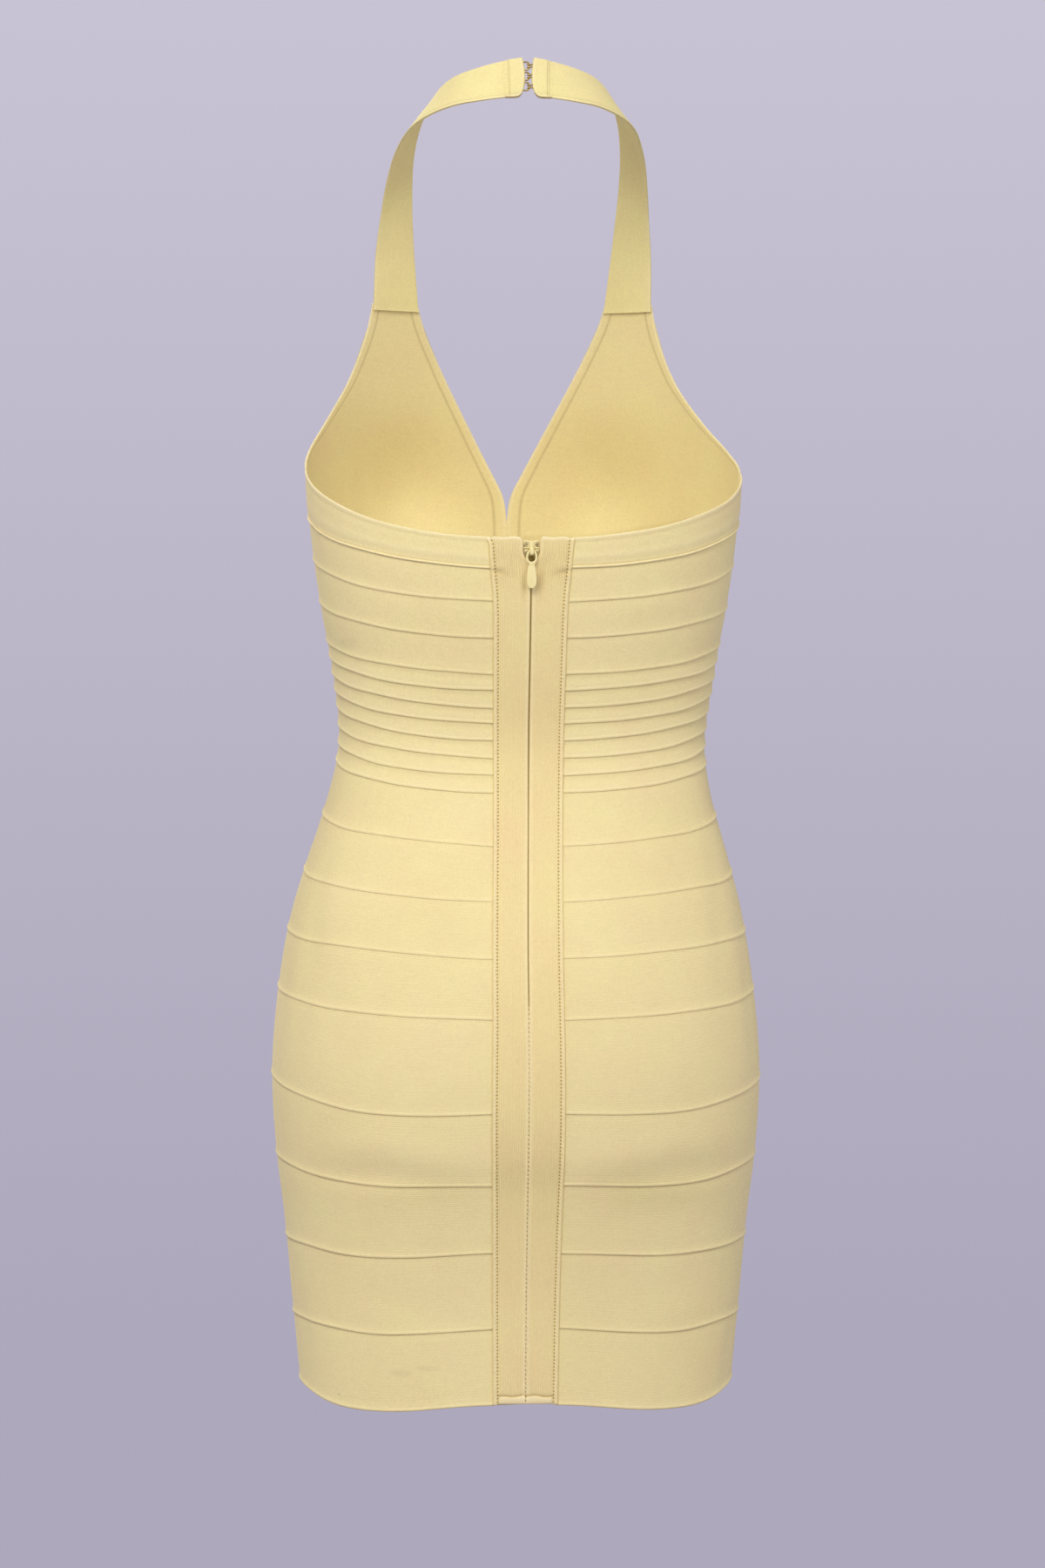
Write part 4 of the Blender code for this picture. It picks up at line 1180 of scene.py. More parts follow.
def topstitch(side, word):
    """The stitches along a zip strip's outer edge."""
    pairs, outward = [], []
    first = math.ceil((4.0 - PLACKET_TOP) / STITCH_PITCH) + 0.5
    for k in range(int((PLACKET_TOP - PLACKET_HEM - 5) / STITCH_PITCH)):
        z = -STITCH_PITCH * (first + k)
        half = float(placket_half(z))
        sway = 0.22 * math.sin(k * 1.7) + 0.14 * math.sin(k * 0.37) + 0.16 * math.sin(k * 4.1)
        drop = LOOP_DROP * (0.4 + 0.6 * math.sin(k * 2.3 + side))
        x = half - np.array((LOOP_OUT + sway, LOOP_IN + 0.5 * sway))
        heights = np.array((z + drop, z))
        relief = strip_relief(side, x, heights, half)
        pair = lifted(side * turn_at_x(x, heights), heights, LOOP_LIFTS + relief)
        pairs.append(pair)
        outward.append(lifted(side * turn_at_x(x[0], z), z, LOOP_ABOVE + relief[0]) - pair[0])
    obj = capsules("topstitch_" + word, pairs, outward, radius=0.36, arch=0.12, material="thread")
    extra_piece(obj)


def make_stitches():
    for side, word in SIDES:
        topstitch(side, word)
    pairs = []
    first = math.ceil((2.0 - ZIP_END) / SEAM_STITCH_PITCH)
    for k in range(int((ZIP_END - PLACKET_HEM - FOLD_TALL - 2) / SEAM_STITCH_PITCH)):
        for side, _ in SIDES:
            heights = -SEAM_STITCH_PITCH * (first + k) - 0.3 * side + SEAM_HALF_LONG
            turn = side * turn_at_x(SEAM_BESIDE, heights)
            pairs.append(lifted(turn, heights, SEAM_LIFT - 0.06 * (side > 0)))
    obj = capsules("seam_stitch", pairs, TO_BACK, radius=0.34, arch=0.10, material="thread")
    extra_piece(obj)


# ------------------------------------------------------------------ halter fronts

# neck x, neck z, armhole x, armhole z; nan is on the seam line or the side seam
SEAM = float("nan")
HALTER = np.array((
    (0.15, SEAM, SEAM, SEAM),
    (0.15, -279, SEAM, -269),
    (3.0, -262, SEAM, -253.2),
    (11.0, -246, 141, -239),
    (20.5, -228, 132, -223),
    (30.5, -209, 121, -205),
    (41.0, -189, 111, -187),
    (51.0, -169, 103, -167),
    (59.0, -151, 98, -151),
    (64.0, -135, 95, -135),
))
HALTER_SEAM_RUNGS = 3
HALTER_COLUMNS = 25
HALTER_NEAR = (0, 0.15, 0.5, 1.1, 2.0, 3.4, 4.7, 5.3, 5.8, 6.3, 7.2)
HALTER_RIB_HIGH = 0.085
HALTER_MIDDLE = 0.8             # lift halfway through the cloth
ARMHOLE_FROM = 1.9              # the armhole's folded edge starts this many rungs up
HEM_EDGE = 5.5                  # folded edge along the neckline and the armhole


def halter_ends():
    """Turn and height of each rung's two ends, neck first."""
    rungs = []
    for neck_x, neck_z, arm_x, arm_z in HALTER:
        if math.isnan(neck_z):
            neck_z = SEAMS[1, 3] + GAP / 2
        if math.isnan(arm_z):
            arm_z = SEAMS[1, 0] + SEAMS[1, 1] + GAP / 2
        on_side = math.isnan(arm_x)
        arm_turn = side_turn(arm_z, True) if on_side else turn_at_x(arm_x, arm_z, True)
        rungs.append((turn_at_x(neck_x, neck_z, True), neck_z, arm_turn, arm_z))
    return np.array(rungs, float)


def halter_outer(places):
    """Lift of a halter front's outer face, by mm above its lower edge."""
    swell = 0.35 * np.sin(HALF * np.minimum(places / 3.2, 1))
    return 1.25 + 0.5 * ease((7 - places) / 5) + swell


def halter_rows(places, tall, ribs):
    """Rows round a halter front's section: mm above the lower edge, lift, and whether it
    is outside. The first ones are at the places given."""
    wave = -np.cos(TAU * places * ribs / tall)
    strength = 0.2 + 0.8 * ease((places - 2.2) / 1.5)
    lift = halter_outer(places) + wave * strength * HALTER_RIB_HIGH
    rows = list(zip(places, lift, [True] * len(places)))
    rows += [(tall - 0.1, 1.15, True), (tall, 0.8, True), (tall - 0.1, 0.35, False)]
    for place in np.arange(tall - 1.0, LIP_TALL + 3.0, -RIB_PITCH / 2):
        rows.append((place, 0.15 - 0.05 * math.cos(TAU * place * ribs / tall), False))
    rows += [(LIP_TALL + 1.8, 0.3, False), (LIP_TALL, LIP, False), (ROLL, LIP, False)]
    rolled = float(halter_outer(ROLL))
    middle, radius = (rolled + LIP) / 2, (rolled - LIP) / 2
    for a in np.radians((150, 120, 90, 60, 30, 0)):
        rows.append((ROLL * (1 - math.sin(a)), middle + radius * math.cos(a), False))
    return rows


def halter_row(side, at, ends, lift, outside):
    """One row of points between two ends, at so many rungs up: points, turns and shade."""
    neck_turn, neck_z, arm_turn, arm_z = ends
    share = np.linspace(0, 1, SAMPLES)
    coarse = figure(mix(neck_turn, arm_turn, share), mix(neck_z, arm_z, share))
    wide = np.linalg.norm(np.diff(coarse, axis=0), axis=1).sum()
    neck_mm = spaced(wide, HALTER_NEAR, HALTER_NEAR, HALTER_COLUMNS)
    arm_mm, across = wide - neck_mm, neck_mm / wide
    turn = mix(neck_turn, arm_turn, across)
    line = seam_height(1, side * turn)
    sag = line - mix(line[0], line[-1], across)
    z = mix(neck_z, arm_z, across) + max(1 - at / HALTER_SEAM_RUNGS, 0) * sag
    armhole = at > ARMHOLE_FROM
    hem = ease((HEM_EDGE - neck_mm) / 1.2) + ease((HEM_EDGE - arm_mm) / 1.2) * armhole
    groove = bell(neck_mm - HEM_EDGE - 0.3, 0.7) + bell(arm_mm - HEM_EDGE - 0.3, 0.7) * armhole
    # Painted highlight along the folded edges and painted shade in the groove beside them.
    shade = 0.30 * (bell(neck_mm - 0.8, 0.8) + bell(arm_mm - 0.8, 0.8) * armhole) - 0.35 * groove
    if outside:
        lift = lift + 0.32 * hem - 0.18 * groove
    lift = mix(HALTER_MIDDLE, lift, rounded(np.minimum(neck_mm, arm_mm), 0.02))
    return lifted(side * turn, z, lift), turn, shade


def make_halter():
    rungs = halter_ends()
    fine = smooth_path(rungs, 48)
    level = np.linspace(0, len(rungs) - 1, len(fine))
    steps = np.hypot(*np.diff(fine[:, [1, 3]], axis=0).T) / math.sqrt(2)
    height = np.concatenate(([0], np.cumsum(steps)))
    tall = height[-1]
    ribs = round(tall / RIB_PITCH)
    places = np.arange(ribs * ROWS_A_RIB + 1) * tall / (ribs * ROWS_A_RIB)
    places = places[(places > ROLL + 0.3) & (places < tall - 0.3)]
    for side, word in SIDES:
        points, cloth, trim_and_painted_shade = [], [], []
        for place, lift, outside in halter_rows(places, tall, ribs):
            at = np.interp(place, height, level)
            ends = [np.interp(at, level, fine[:, k]) for k in range(4)]
            row, turn, shade = halter_row(side, at, ends, lift, outside)
            # Painted highlight on the lip, a painted shadow along the lower edge, and a dark stitch line
            # below the top.
            shade = shade + bells(place, ((1.5, 0.75, 0.38), (0, 0.45, -0.60), (tall - 2.5, 0.35, -0.5)))
            points.append(row)
            cloth.append(stacked(turn * RADIAN_MM, -place, 0))
            trim_and_painted_shade.append(stacked(0, shade, 0))
        points, cloth, trim_and_painted_shade = np.array(points), np.array(cloth), np.array(trim_and_painted_shade)
        obj = loft("halter_" + word, points.swapaxes(0, 1), "bandage_knit",
                   cloth.swapaxes(0, 1), trim_and_painted_shade.swapaxes(0, 1))
        face = points[:len(places)]
        steps_across = np.linalg.norm(np.diff(face, axis=1), axis=2)[:-1]
        steps_up = np.linalg.norm(np.diff(face, axis=0), axis=2)[:, :-1]
        area = (steps_across * steps_up).sum()
        wide = arc_mm(points[len(places) // 5])
        cloth_piece(obj, wide, tall + 10, "bandage_knit", ("halter_front_" + word,), area)


# ------------------------------------------------------------------ neck strap

# inner edge x, y, z and outer edge x, y, z, from the nape to the front
STRAP = np.array((
    (3.7, -0.5, 10.2, 3.7, 2.5, -15.0),
    (18.0, -3.0, 7.6, 17.0, 3.0, -16.6),
    (33.0, -11.0, 4.2, 31.5, 0.0, -18.4),
    (45.0, -23.0, 0.8, 47.5, -9.0, -20.4),
    (54.0, -39.0, -5.0, 63.0, -25.0, -24.8),
    (61.0, -57.0, -14.5, 74.5, -47.0, -31.0),
    (66.0, -76.0, -25.5, 82.0, -72.0, -42.5),
    (69.0, -95.0, -41.0, 87.0, -96.0, -58.5),
    (69.5, -115.0, -64.0, 90.5, -116.0, -79.0),
    (67.5, -135.0, -96.0, 93.5, -130.0, -105.0),
))
STRAP_INSIDE = np.array((0, -75, -160.0))
STRAP_LAP = 4.0                 # the strap's end lies this far behind the halter's top
STRAP_WALL = 1.5
STRAP_WIDE = 23.0
STRAP_CROWN = 0.3
# Columns of its section: shares from the upper to the lower edge on its outer and inner
# face, and round the lower edge with the share of the wall, which the upper edge mirrors.
STRAP_OUTER = (
    0.012, 0.03, 0.05, 0.08, 0.16, 0.28, 0.4, 0.5, 0.6, 0.72, 0.84, 0.91, 0.935, 0.955, 0.975, 0.99,
)
STRAP_EDGE = (
    (0.997, 0.90), (1.0, 0.75), (0.997, 0.58), (0.992, 0.5), (0.997, 0.42), (1.0, 0.25), (0.997, 0.10),
)
STRAP_INNER = (0.985, 0.95, 0.85, 0.6, 0.4, 0.15, 0.05, 0.015)
TAB_PLACES = (0, 0.25, 0.7, 1.3, 2.5, 4.5, 6.5, 7.8, 8.2, 8.5, 8.7, 8.9, 9.2, 9.5, 9.7, 9.9, 10.3, 11.0, 12.0)
TAB_LONG = 9.5
TAB_WALL = 2.5
TAB_STITCH = 8.7
TAB_BULGE = 1.8                 # the middle of each end swells this far over the hooks
OVERLOCK_LONG = 11.5
OVERLOCK_LOOPS = 27
# name, material, drop below the strap's edge, radius
OVERLOCK_THREADS = (("thread", "thread", 0.0, 0.17), ("brown", "brown_thread", 0.25, 0.14))


def strap_curves():
    """Fine curves of the left half's inner and outer edge, and the length so far, in mm."""
    curves = []
    for start, (x, z), in_by in ((0, HALTER[-1, :2], -1.0), (3, HALTER[-1, 2:], 0.5)):
        levels = np.array((z + GAP, z - STRAP_LAP))
        lapped = turn_at_x(np.array((x, x + in_by)), levels, True)
        end = lifted(lapped, levels, np.array((-1.35, -1.5))) / MM
        curves.append(smooth_path(np.vstack((STRAP[:, start:start + 3], end)), 16))
    middle = (curves[0] + curves[1]) / 2
    steps = np.linalg.norm(np.diff(middle, axis=0), axis=1)
    return curves[0], curves[1], np.concatenate(([0], np.cumsum(steps)))


def strap_at(curves, places):
    """Points of the inner and outer edge, and the way out, at places along the strap."""
    inner, outer, length = curves
    a = np.stack([np.interp(places, length, inner[:, k]) for k in range(3)], -1)
    b = np.stack([np.interp(places, length, outer[:, k]) for k in range(3)], -1)
    along = np.gradient((a + b) / 2, axis=0)
    normal = np.cross(along, b - a)
    normal /= np.linalg.norm(normal, axis=1, keepdims=True)
    out = ((a + b) / 2 - STRAP_INSIDE) * normal
    normal *= np.sign(out.sum(1, keepdims=True))
    return a, b, normal


def strap_section():
    """Ring round the strap: share from its upper to its lower edge, and where it lies
    between its two faces, from 0 (inner) to 1 (outer)."""
    ring = [(share, 1.0) for share in STRAP_OUTER] + list(STRAP_EDGE)
    ring += [(share, 0.0) for share in STRAP_INNER]
    ring += [(1 - share, depth) for share, depth in reversed(STRAP_EDGE)]
    return np.array(ring)


def tab_droop(places):
    """How far a folded end's lower edge hangs, in mm: below 0 where its corner is rounded."""
    return 0.5 * bell(places - 5.5, 4.0) - 2.6 * (1 - np.clip(places / 3.4, 0, 1)) ** 2


def make_straps():
    curves = strap_curves()
    total = curves[2][-1]
    places = np.concatenate((TAB_PLACES, np.linspace(14.0, total - 0.4, 84), (total,)))
    a, b, normal = (part[:, None] for part in strap_at(curves, places))
    at = places[:, None]
    share, depth = strap_section().T
    tabbed = 1 - ease((at - TAB_LONG + 0.4) / 1.5)
    wall = mix(STRAP_WALL, TAB_WALL, tabbed)
    hem = bells(at, ((1.4, 0.8, 0.30), (5.4, 2.6, 0.16)))
    stitch = 0.22 * bell(at - TAB_STITCH, 0.40)
    hump = 4 * share * (1 - share)
    sunk = tab_droop(at) * ease((share - 0.72) / 0.28)
    # Painted highlight and painted shadow along the folded edges, a dark line at the end's stitching, darker
    # just past it, and painted light near the strap's end.
    shade = bells(share, ((0.970, 0.022, 0.42), (0.930, 0.020, -0.24), (1, 0.010, -0.30), (0, 0.02, 0.06)))
    shade = shade + bells(at, ((TAB_STITCH, 0.32, -0.42), (11.6, 0.6, -0.10), (1.2, 0.8, 0.25)))
    for side, word in SIDES:
        ripple = 0.16 * np.sin(at * 0.11 + side) * np.sin(share * 5 + at * 0.03)
        relief = (hem - stitch * (1 if side > 0 else 0.9)) * depth
        height = depth * wall + STRAP_CROWN * hump + relief + ripple * (1 - tabbed)
        height = mix(wall / 2, height, rounded(at / 0.8, 0.03))
        points = mix(a, b, share[:, None]) + normal * height[..., None]
        points[..., 0] -= TAB_BULGE * hump * bell(at, 5)
        points[..., 2] -= sunk
        obj = loft("strap_" + word, points * (side, 1, 1) * MM, "strap_knit",
                   stacked(at, share * STRAP_WIDE, 0), stacked(0, shade, 0))
        cloth_piece(obj, total, STRAP_WIDE, "bandage_knit", ("neck_strap_" + word,))
        overlock(side, word, curves)


def overlock(side, word, curves):
    """Thread wrapped over the lower edge of a folded strap end."""
    places = np.linspace(0.4, OVERLOCK_LONG, OVERLOCK_LOOPS)
    a, b, normal = strap_at(curves, places)
    down = (b - a) / np.linalg.norm(b - a, axis=1, keepdims=True)
    flip = np.array((side, 1, 1))
    k = np.arange(OVERLOCK_LOOPS)
    lean = stacked(0.30 + 0.12 * np.sin(k * 2.1), 0, 0)
    for kind, material, drop, radius in OVERLOCK_THREADS:
        edge = b - stacked(0, 0, tab_droop(places)) + down * drop
        up = (0.9 + 0.2 * (k % 2)) * (drop == 0)
        front = edge + normal * (2.7 - drop) - down * up[:, None] + lean
        below = edge + normal * 1.3 + down * 0.45 - lean * (drop > 0)
        pairs = np.stack((front, below), 1) * flip * MM
        name = "overlock_%s_%s" % (kind, word)
        obj = capsules(name, pairs, (normal + down) * flip, radius, arch=0.22, material=material)
        extra_piece(obj)


# ------------------------------------------------------------------ hooks and eyes

HOOK_HEIGHTS = (4.8, -2.0, -8.8)
HOOK_WIRE = 0.52
HOOK_HALF = 0.85                # a hook is a doubled wire
HOOK_Y = 2.0
HOOK_Y_SLOPE = 0.12
HOOK_SHANK_ABOVE = 0.3
HOOK_BENDS = ((-1.2, 0.9), (0.0, 1.25), (1.1, 0.9), (1.45, 0.0), (1.1, -0.9), (0.1, -1.15))
EYE_WIRE = 0.56
EYE_HALF = 2.55
EYE_REACH = 4.4
WIRE_SIDES = 12


def make_hooks():
    base = STRAP[0, 0] - GAP
    bar = base - EYE_REACH
    for number, height in enumerate(HOOK_HEIGHTS, 1):
        y = HOOK_Y - height * HOOK_Y_SLOPE
        eye = [(base, y, height + EYE_HALF)]
        for angle in np.linspace(QUARTER, -QUARTER, 19):
            eye.append((bar + EYE_HALF * (1 - math.cos(angle)), y, height + EYE_HALF * math.sin(angle)))
        eye.append((base, y, height - EYE_HALF))
        obj = tube("eye_wire_%d" % number, np.array(eye) * MM, EYE_WIRE * MM, "hook_brass", WIRE_SIDES)
        extra_piece(obj, nodes=("eye_%d" % number,))
        limb = [(-base, y + HOOK_SHANK_ABOVE)] + [(bar + past, y + above) for past, above in HOOK_BENDS]
        hook = [(x, out, height + HOOK_HALF) for x, out in limb]
        hook += [(x, out, height - HOOK_HALF) for x, out in reversed(limb)]
        path = smooth_path(np.array(hook) * MM, 5)
        obj = tube("hook_wire_%d" % number, path, HOOK_WIRE * MM, "hook_brass", WIRE_SIDES)
        extra_piece(obj, nodes=("hook_%d" % number,))


# ------------------------------------------------------------------ slider and pull

SLIDER_Z = -310.4
SLIDER_TALL = 9.4
SLIDER_BASE = 0.3
SLIDER_THICK = 2.4
BAR_HALF = 1.15                 # the slider's narrow post between the coil's ends
BAR_TALL = 7.0
CHEEK_HALF = 2.3
FOOT_HALF_TALL = 1.8
FOOT_UP = 2.2
PIVOT_ABOVE = 1.3
PIVOT_BELOW = 1.6
BRIDGE_HALF_WIDE = 1.1
BRIDGE_WALL = 0.8
BRIDGE_GAP = 1.1
BRIDGE_REACH = 1.7
BRIDGE_CORNER = 0.9
BRIDGE_SUNK = 0.5
PULL_THICK = 1.1
RING_HALF = 3.6
RING_LONG = 8.6
RING_BAR = 1.3
RING_SQUARE = 0.8
RING_OPEN = 0.84
NECK_HALF = 1.85
TEARDROP_START = 9.6
TEARDROP_END = 23.8
TEARDROP_HALF = 3.25
TEARDROP_NARROW = 0.32
TEARDROP_TAPER = 3.0
TEARDROP_BLUNT = 8
TEARDROP_STEPS = 28
COLLAR_HALF = 1.7
COLLAR_BELOW = 8.0
COLLAR_RADIUS = 0.86
EARS = ((-305.9, 0.55), (-309.7, 0.15), (-311.4, -0.35))    # the coil's ends: height, fan
# where each bends: out to the side, in from the slider's face, share of the fan
EAR_BENDS = ((1.9, 0.45, 0.0), (3.3, 0.55, 0.4), (4.6, 1.15, 1.0))


def plate(name, outlines, half_thick, edge, place):
    """Mesh of an upright plate with rounded edges, from closed outlines in mm."""
    curve = bpy.data.curves.new(name, "CURVE")
    curve.dimensions = "2D"
    curve.fill_mode = "BOTH"
    curve.extrude = (half_thick - edge) * MM
    curve.bevel_depth = edge * MM
    curve.bevel_resolution = 3
    curve.offset = -edge * MM
    for outline in outlines:
        spline = curve.splines.new("POLY")
        spline.points.add(len(outline) - 1)
        spline.use_cyclic_u = True
        for target, point in zip(spline.points, outline):
            target.co = (point[0] * MM, point[1] * MM, 0, 1)
    source = linked(name + "_curve", curve)
    bpy.context.view_layer.update()
    depsgraph = bpy.context.evaluated_depsgraph_get()
    mesh = bpy.data.meshes.new_from_object(source.evaluated_get(depsgraph))
    bpy.data.objects.remove(source)
    upright = Euler((QUARTER, 0, 0)).to_matrix().to_4x4()
    mesh.transform(Matrix.Translation(Vector(place) * MM) @ upright)
    return mesh


def mesh_alone(obj):
    """The object's mesh, without the object."""
    mesh = obj.data
    bpy.data.objects.remove(obj)
    return mesh


def joined(name, meshes, material):
    """One object from several meshes, with its doubled points merged."""
    bm = bmesh.new()
    for mesh in meshes:
        bm.from_mesh(mesh)
    bmesh.ops.remove_doubles(bm, verts=bm.verts, dist=0.000004)
    bmesh.ops.recalc_face_normals(bm, faces=bm.faces)
    mesh = bpy.data.meshes.new(name)
    bm.to_mesh(mesh)
    bm.free()
    mesh.materials.clear()
    mesh.materials.append(MATERIALS[material])
    mesh.shade_smooth()
    mesh.set_sharp_from_angle(angle=math.radians(50))
    return linked(name, mesh)


def slider_face():
    return float(figure(0.0, SLIDER_Z)[1]) + SLIDER_BASE + SLIDER_THICK


def squared(half_wide, half_tall, wide_power, tall_power, count=48):
    """A closed outline round a squared ellipse."""
    outline = []
    for k in range(count):
        c, s = math.cos(k * TAU / count), math.sin(k * TAU / count)
        outline.append((math.copysign(abs(c) ** wide_power, c) * half_wide,
                        math.copysign(abs(s) ** tall_power, s) * half_tall))
    return outline


def make_bridge(face):
    """The slider's arch over the pull's bar, as a mesh."""
    reach = BRIDGE_REACH + BRIDGE_WALL / 2
    high = PIVOT_ABOVE + BRIDGE_GAP + BRIDGE_WALL / 2
    corner = BRIDGE_CORNER
    path = [(-reach, -BRIDGE_SUNK), (-reach, high - corner)]
    path += [(-reach + corner * (1 - math.cos(a)), high - corner * (1 - math.sin(a)))
             for a in np.linspace(0.2, QUARTER, 6)]
    path += [(reach - corner * (1 - math.sin(a)), high - corner * (1 - math.cos(a)))
             for a in np.linspace(0, QUARTER - 0.2, 6)]
    path += [(reach, high - corner), (reach, -BRIDGE_SUNK)]
    path = np.array(path)
    ways = np.gradient(path, axis=0)
    ways /= np.linalg.norm(ways, axis=1, keepdims=True)
    section = squared(BRIDGE_HALF_WIDE, BRIDGE_WALL / 2, 0.5, 0.7, 20)
    middle = SLIDER_Z - PIVOT_BELOW
    rings = [[(wide, face + out + thin * way_up, middle - up + thin * way_out) for wide, thin in section]
             for (up, out), (way_up, way_out) in zip(path, ways)]
    return mesh_alone(loft("slider_bridge", np.array(rings) * MM, "zip_enamel"))


def make_slider():
    face = slider_face()
    half = SLIDER_THICK / 2
    bar = squared(BAR_HALF, BAR_TALL / 2, 0.45, 0.45)
    cheek = squared(CHEEK_HALF, SLIDER_TALL / 2 - 0.4, 0.6, 0.6)
    foot = squared(CHEEK_HALF, FOOT_HALF_TALL, 0.6, 0.6)
    bar_z = SLIDER_Z + (SLIDER_TALL - BAR_TALL) / 2
    foot_z = SLIDER_Z - SLIDER_TALL / 2 + FOOT_UP
    meshes = [
        plate("slider_bar", [bar], half - 0.1, 0.4, (0, face - half + 0.1, bar_z)),
        plate("slider_cheek", [cheek], 0.45, 0.25, (0, face - SLIDER_THICK + 0.45, SLIDER_Z)),
        plate("slider_foot", [foot], half - 0.3, 0.3, (0, face - half, foot_z)),
        make_bridge(face),
    ]
    extra_piece(joined("slider", meshes, "zip_enamel"), nodes=("zip_slider",))

    pairs = []
    for side, _ in SIDES:
        for z, fan in EARS:
            bends = [(side * out, face - down, z + fan * share) for out, down, share in EAR_BENDS]
            pairs += zip(bends, bends[1:])
    ears = capsules("coil_ends", np.array(pairs) * MM, TO_BACK, radius=0.62, arch=0.06,
                    material="zip_enamel")
    extra_piece(ears)


def teardrop_half(along):
    """Half width of the pull's grip at a distance from its narrow end, 0 to 1."""
    narrowed = 1 - TEARDROP_NARROW * (1 - along) ** TEARDROP_TAPER
    return TEARDROP_HALF * narrowed * math.sqrt(1 - along ** TEARDROP_BLUNT)


def ring_point(angle, half_wide, half_long):
    """A point of the pull's ring, from its top, round a squared ellipse."""
    s, c = math.sin(angle), math.cos(angle)
    x = math.copysign(abs(s) ** RING_SQUARE, s) * half_wide
    return x, math.copysign(abs(c) ** RING_SQUARE, c) * half_long


def pull_outlines():
    """The pull's outer outline and the hole of its ring."""
    middle = (RING_LONG - RING_BAR) / 2
    side = []
    for k in range(31):
        x, up = ring_point(k * HALF * RING_OPEN / 30, RING_HALF, RING_LONG / 2)
        side.append((x, middle - up))
    side.append((NECK_HALF, RING_LONG))
    for k in range(1, TEARDROP_STEPS):
        along = math.sin(QUARTER * k / TEARDROP_STEPS)
        side.append((teardrop_half(along), mix(TEARDROP_START, TEARDROP_END, along)))
    side.append((0.0, TEARDROP_END))
    outline = [(x, -down) for x, down in side]
    outline += [(-x, -down) for x, down in reversed(side[1:-1])]
    hole = []
    for k in range(40):
        x, up = ring_point(k * TAU / 40, RING_HALF - RING_BAR, RING_LONG / 2 - RING_BAR)
        hole.append((x, up - middle))
    return outline, hole


def make_pull():
    _, y, z = pivot = (0, slider_face() + PIVOT_ABOVE, SLIDER_Z - PIVOT_BELOW)
    body = plate("pull_plate", pull_outlines(), PULL_THICK / 2, 0.34, pivot)
    angles = np.arange(24) * TAU / 24
    rings = []
    for share in np.linspace(0.03, 0.97, 30):
        along = math.sin(QUARTER * share)
        wide = teardrop_half(along) - 0.40
        crown = 0.36 * math.sin(HALF * min(along * 1.4, 0.5 + (along - 0.357) * 0.77)) ** 0.5
        thick = PULL_THICK / 2 - 0.1 + crown
        down = mix(TEARDROP_START, TEARDROP_END, along)
        rings.append(stacked(wide * np.cos(angles), y + thick * np.sin(angles), z - down))
    grip = loft("pull_grip", np.array(rings) * MM, "zip_enamel")
    across = [(x, y, z - COLLAR_BELOW) for x in (-COLLAR_HALF, COLLAR_HALF)]
    path = smooth_path(np.array(across) * MM, 4)
    collar = tube("pull_collar", path, COLLAR_RADIUS * MM, "zip_enamel", 16)
    obj = joined("pull", [body, mesh_alone(grip), mesh_alone(collar)], "zip_enamel")
    extra_piece(obj, body="zip_pull", nodes=("zip_pull",))


# ------------------------------------------------------------------ studio

AIM = (0.0, -0.072, -0.4616)
CAMERA_AWAY = 3.0
CAMERA_TURN = math.radians(4.2)
CAMERA_LENS = 103.44
CAMERA_SENSOR = 36.0
CAMERA_SHIFT = 3 / 1800
FLOOR_Z = -1.45
BOWL_RADIUS = 7.0
BOWL_COVE = 2.4
BOWL_SIDES = 72
BACKDROP_TOP = 1.2              # the backdrop is palest from here up
WORLD_COLOUR = (0.60, 0.57, 0.66, 1)
# name, place, width, watts, colour
LIGHTS = (
    ("key", (0.9, 2.6, 1.5), 1.5, 53, (1.0, 0.975, 0.935)),
    ("fill", (-1.4, 2.3, 0.2), 1.6, 12.5, (1.0, 0.98, 0.96)),
    ("side", (2.8, 0.9, 0.1), 1.2, 5.4, (1.0, 0.98, 0.95)),
    ("front", (0.6, -3.0, 1.4), 1.8, 38, (1.0, 0.98, 0.95)),
)


# The backdrop glows, though it is no lamp: painted light, darker towards the floor as if lit from above.
def backdrop_material():
    shader = Shader("backdrop")
    up = shader.split(shader.place())[2]
    share = shader.node("MapRange", Value=up, From_Min=FLOOR_Z, From_Max=BACKDROP_TOP)
    tone = shader.colour_mix(share, BACKDROP_LOW, BACKDROP_HIGH)
    glow = shader.node("Emission", Color=tone, Strength=1.0)
    shader.feed(shader.tree.nodes["Material Output"], {"Surface": glow})


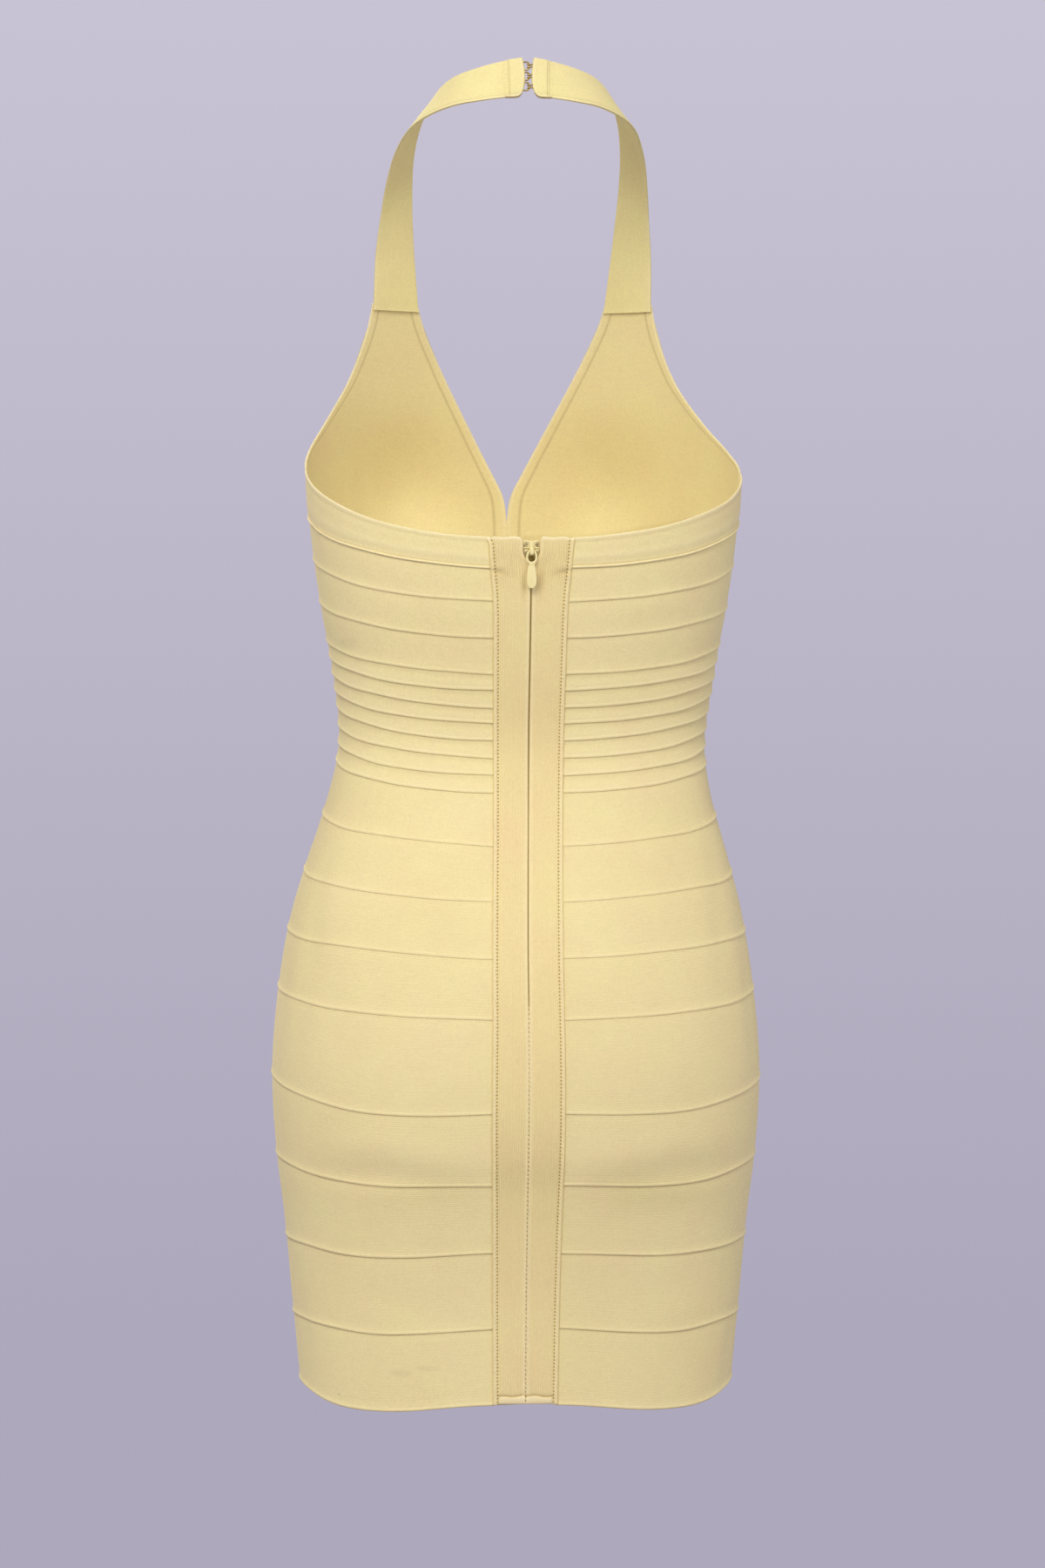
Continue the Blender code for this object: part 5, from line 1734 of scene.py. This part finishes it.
def make_stage():
    """A floor that curves up into a round wall."""
    backdrop_material()
    flat = BOWL_RADIUS - BOWL_COVE
    profile = [(0.02, FLOOR_Z), (1.5, FLOOR_Z), (3.0, FLOOR_Z), (flat, FLOOR_Z)]
    for a in np.linspace(0, QUARTER, 14)[1:]:
        profile.append((flat + BOWL_COVE * math.sin(a), FLOOR_Z + BOWL_COVE * (1 - math.cos(a))))
    profile += [(BOWL_RADIUS, z) for z in (2.5, 4.5, 6.5)]
    angles = np.arange(BOWL_SIDES) * TAU / BOWL_SIDES
    rings = [stacked(radius * np.cos(angles), radius * np.sin(angles), z) for radius, z in profile]
    faces = loft_faces(len(profile), BOWL_SIDES, closed=False)
    faces.append(np.arange(BOWL_SIDES)[None, ::-1])
    new_mesh("backdrop", np.array(rings), faces, "backdrop", sharp=180)


def area_light(name, place, size, power, colour):
    light = bpy.data.lights.new(name, "AREA")
    light.shape = "DISK"
    light.size = size
    light.energy = power
    light.color = colour
    obj = linked(name, light)
    obj.location = place
    obj.rotation_euler = (Vector(AIM) - Vector(place)).to_track_quat("-Z", "Y").to_euler()


def make_camera():
    data = bpy.data.cameras.new("camera")
    data.sensor_width = CAMERA_SENSOR
    data.lens = CAMERA_LENS
    data.shift_x = CAMERA_SHIFT
    camera = linked("camera", data)
    back = Vector((math.sin(CAMERA_TURN), math.cos(CAMERA_TURN), 0))
    camera.location = Vector(AIM) + back * CAMERA_AWAY
    camera.rotation_euler = (QUARTER, 0, HALF - CAMERA_TURN)
    bpy.context.scene.camera = camera


def make_studio():
    scene = bpy.context.scene
    scene.view_settings.view_transform = "Standard"
    world = bpy.data.worlds.new("studio")
    world.use_nodes = True
    background = world.node_tree.nodes["Background"]
    background.inputs["Color"].default_value = WORLD_COLOUR
    background.inputs["Strength"].default_value = 1.0
    scene.world = world
    for light in LIGHTS:
        area_light(*light)
    make_camera()


# ------------------------------------------------------------------ build

make_materials()
make_studio()
make_stage()
make_bands()
make_zip_strips()
make_zip()
make_stitches()
make_halter()
make_straps()
make_hooks()
make_slider()
make_pull()

bpy.context.view_layer.update()
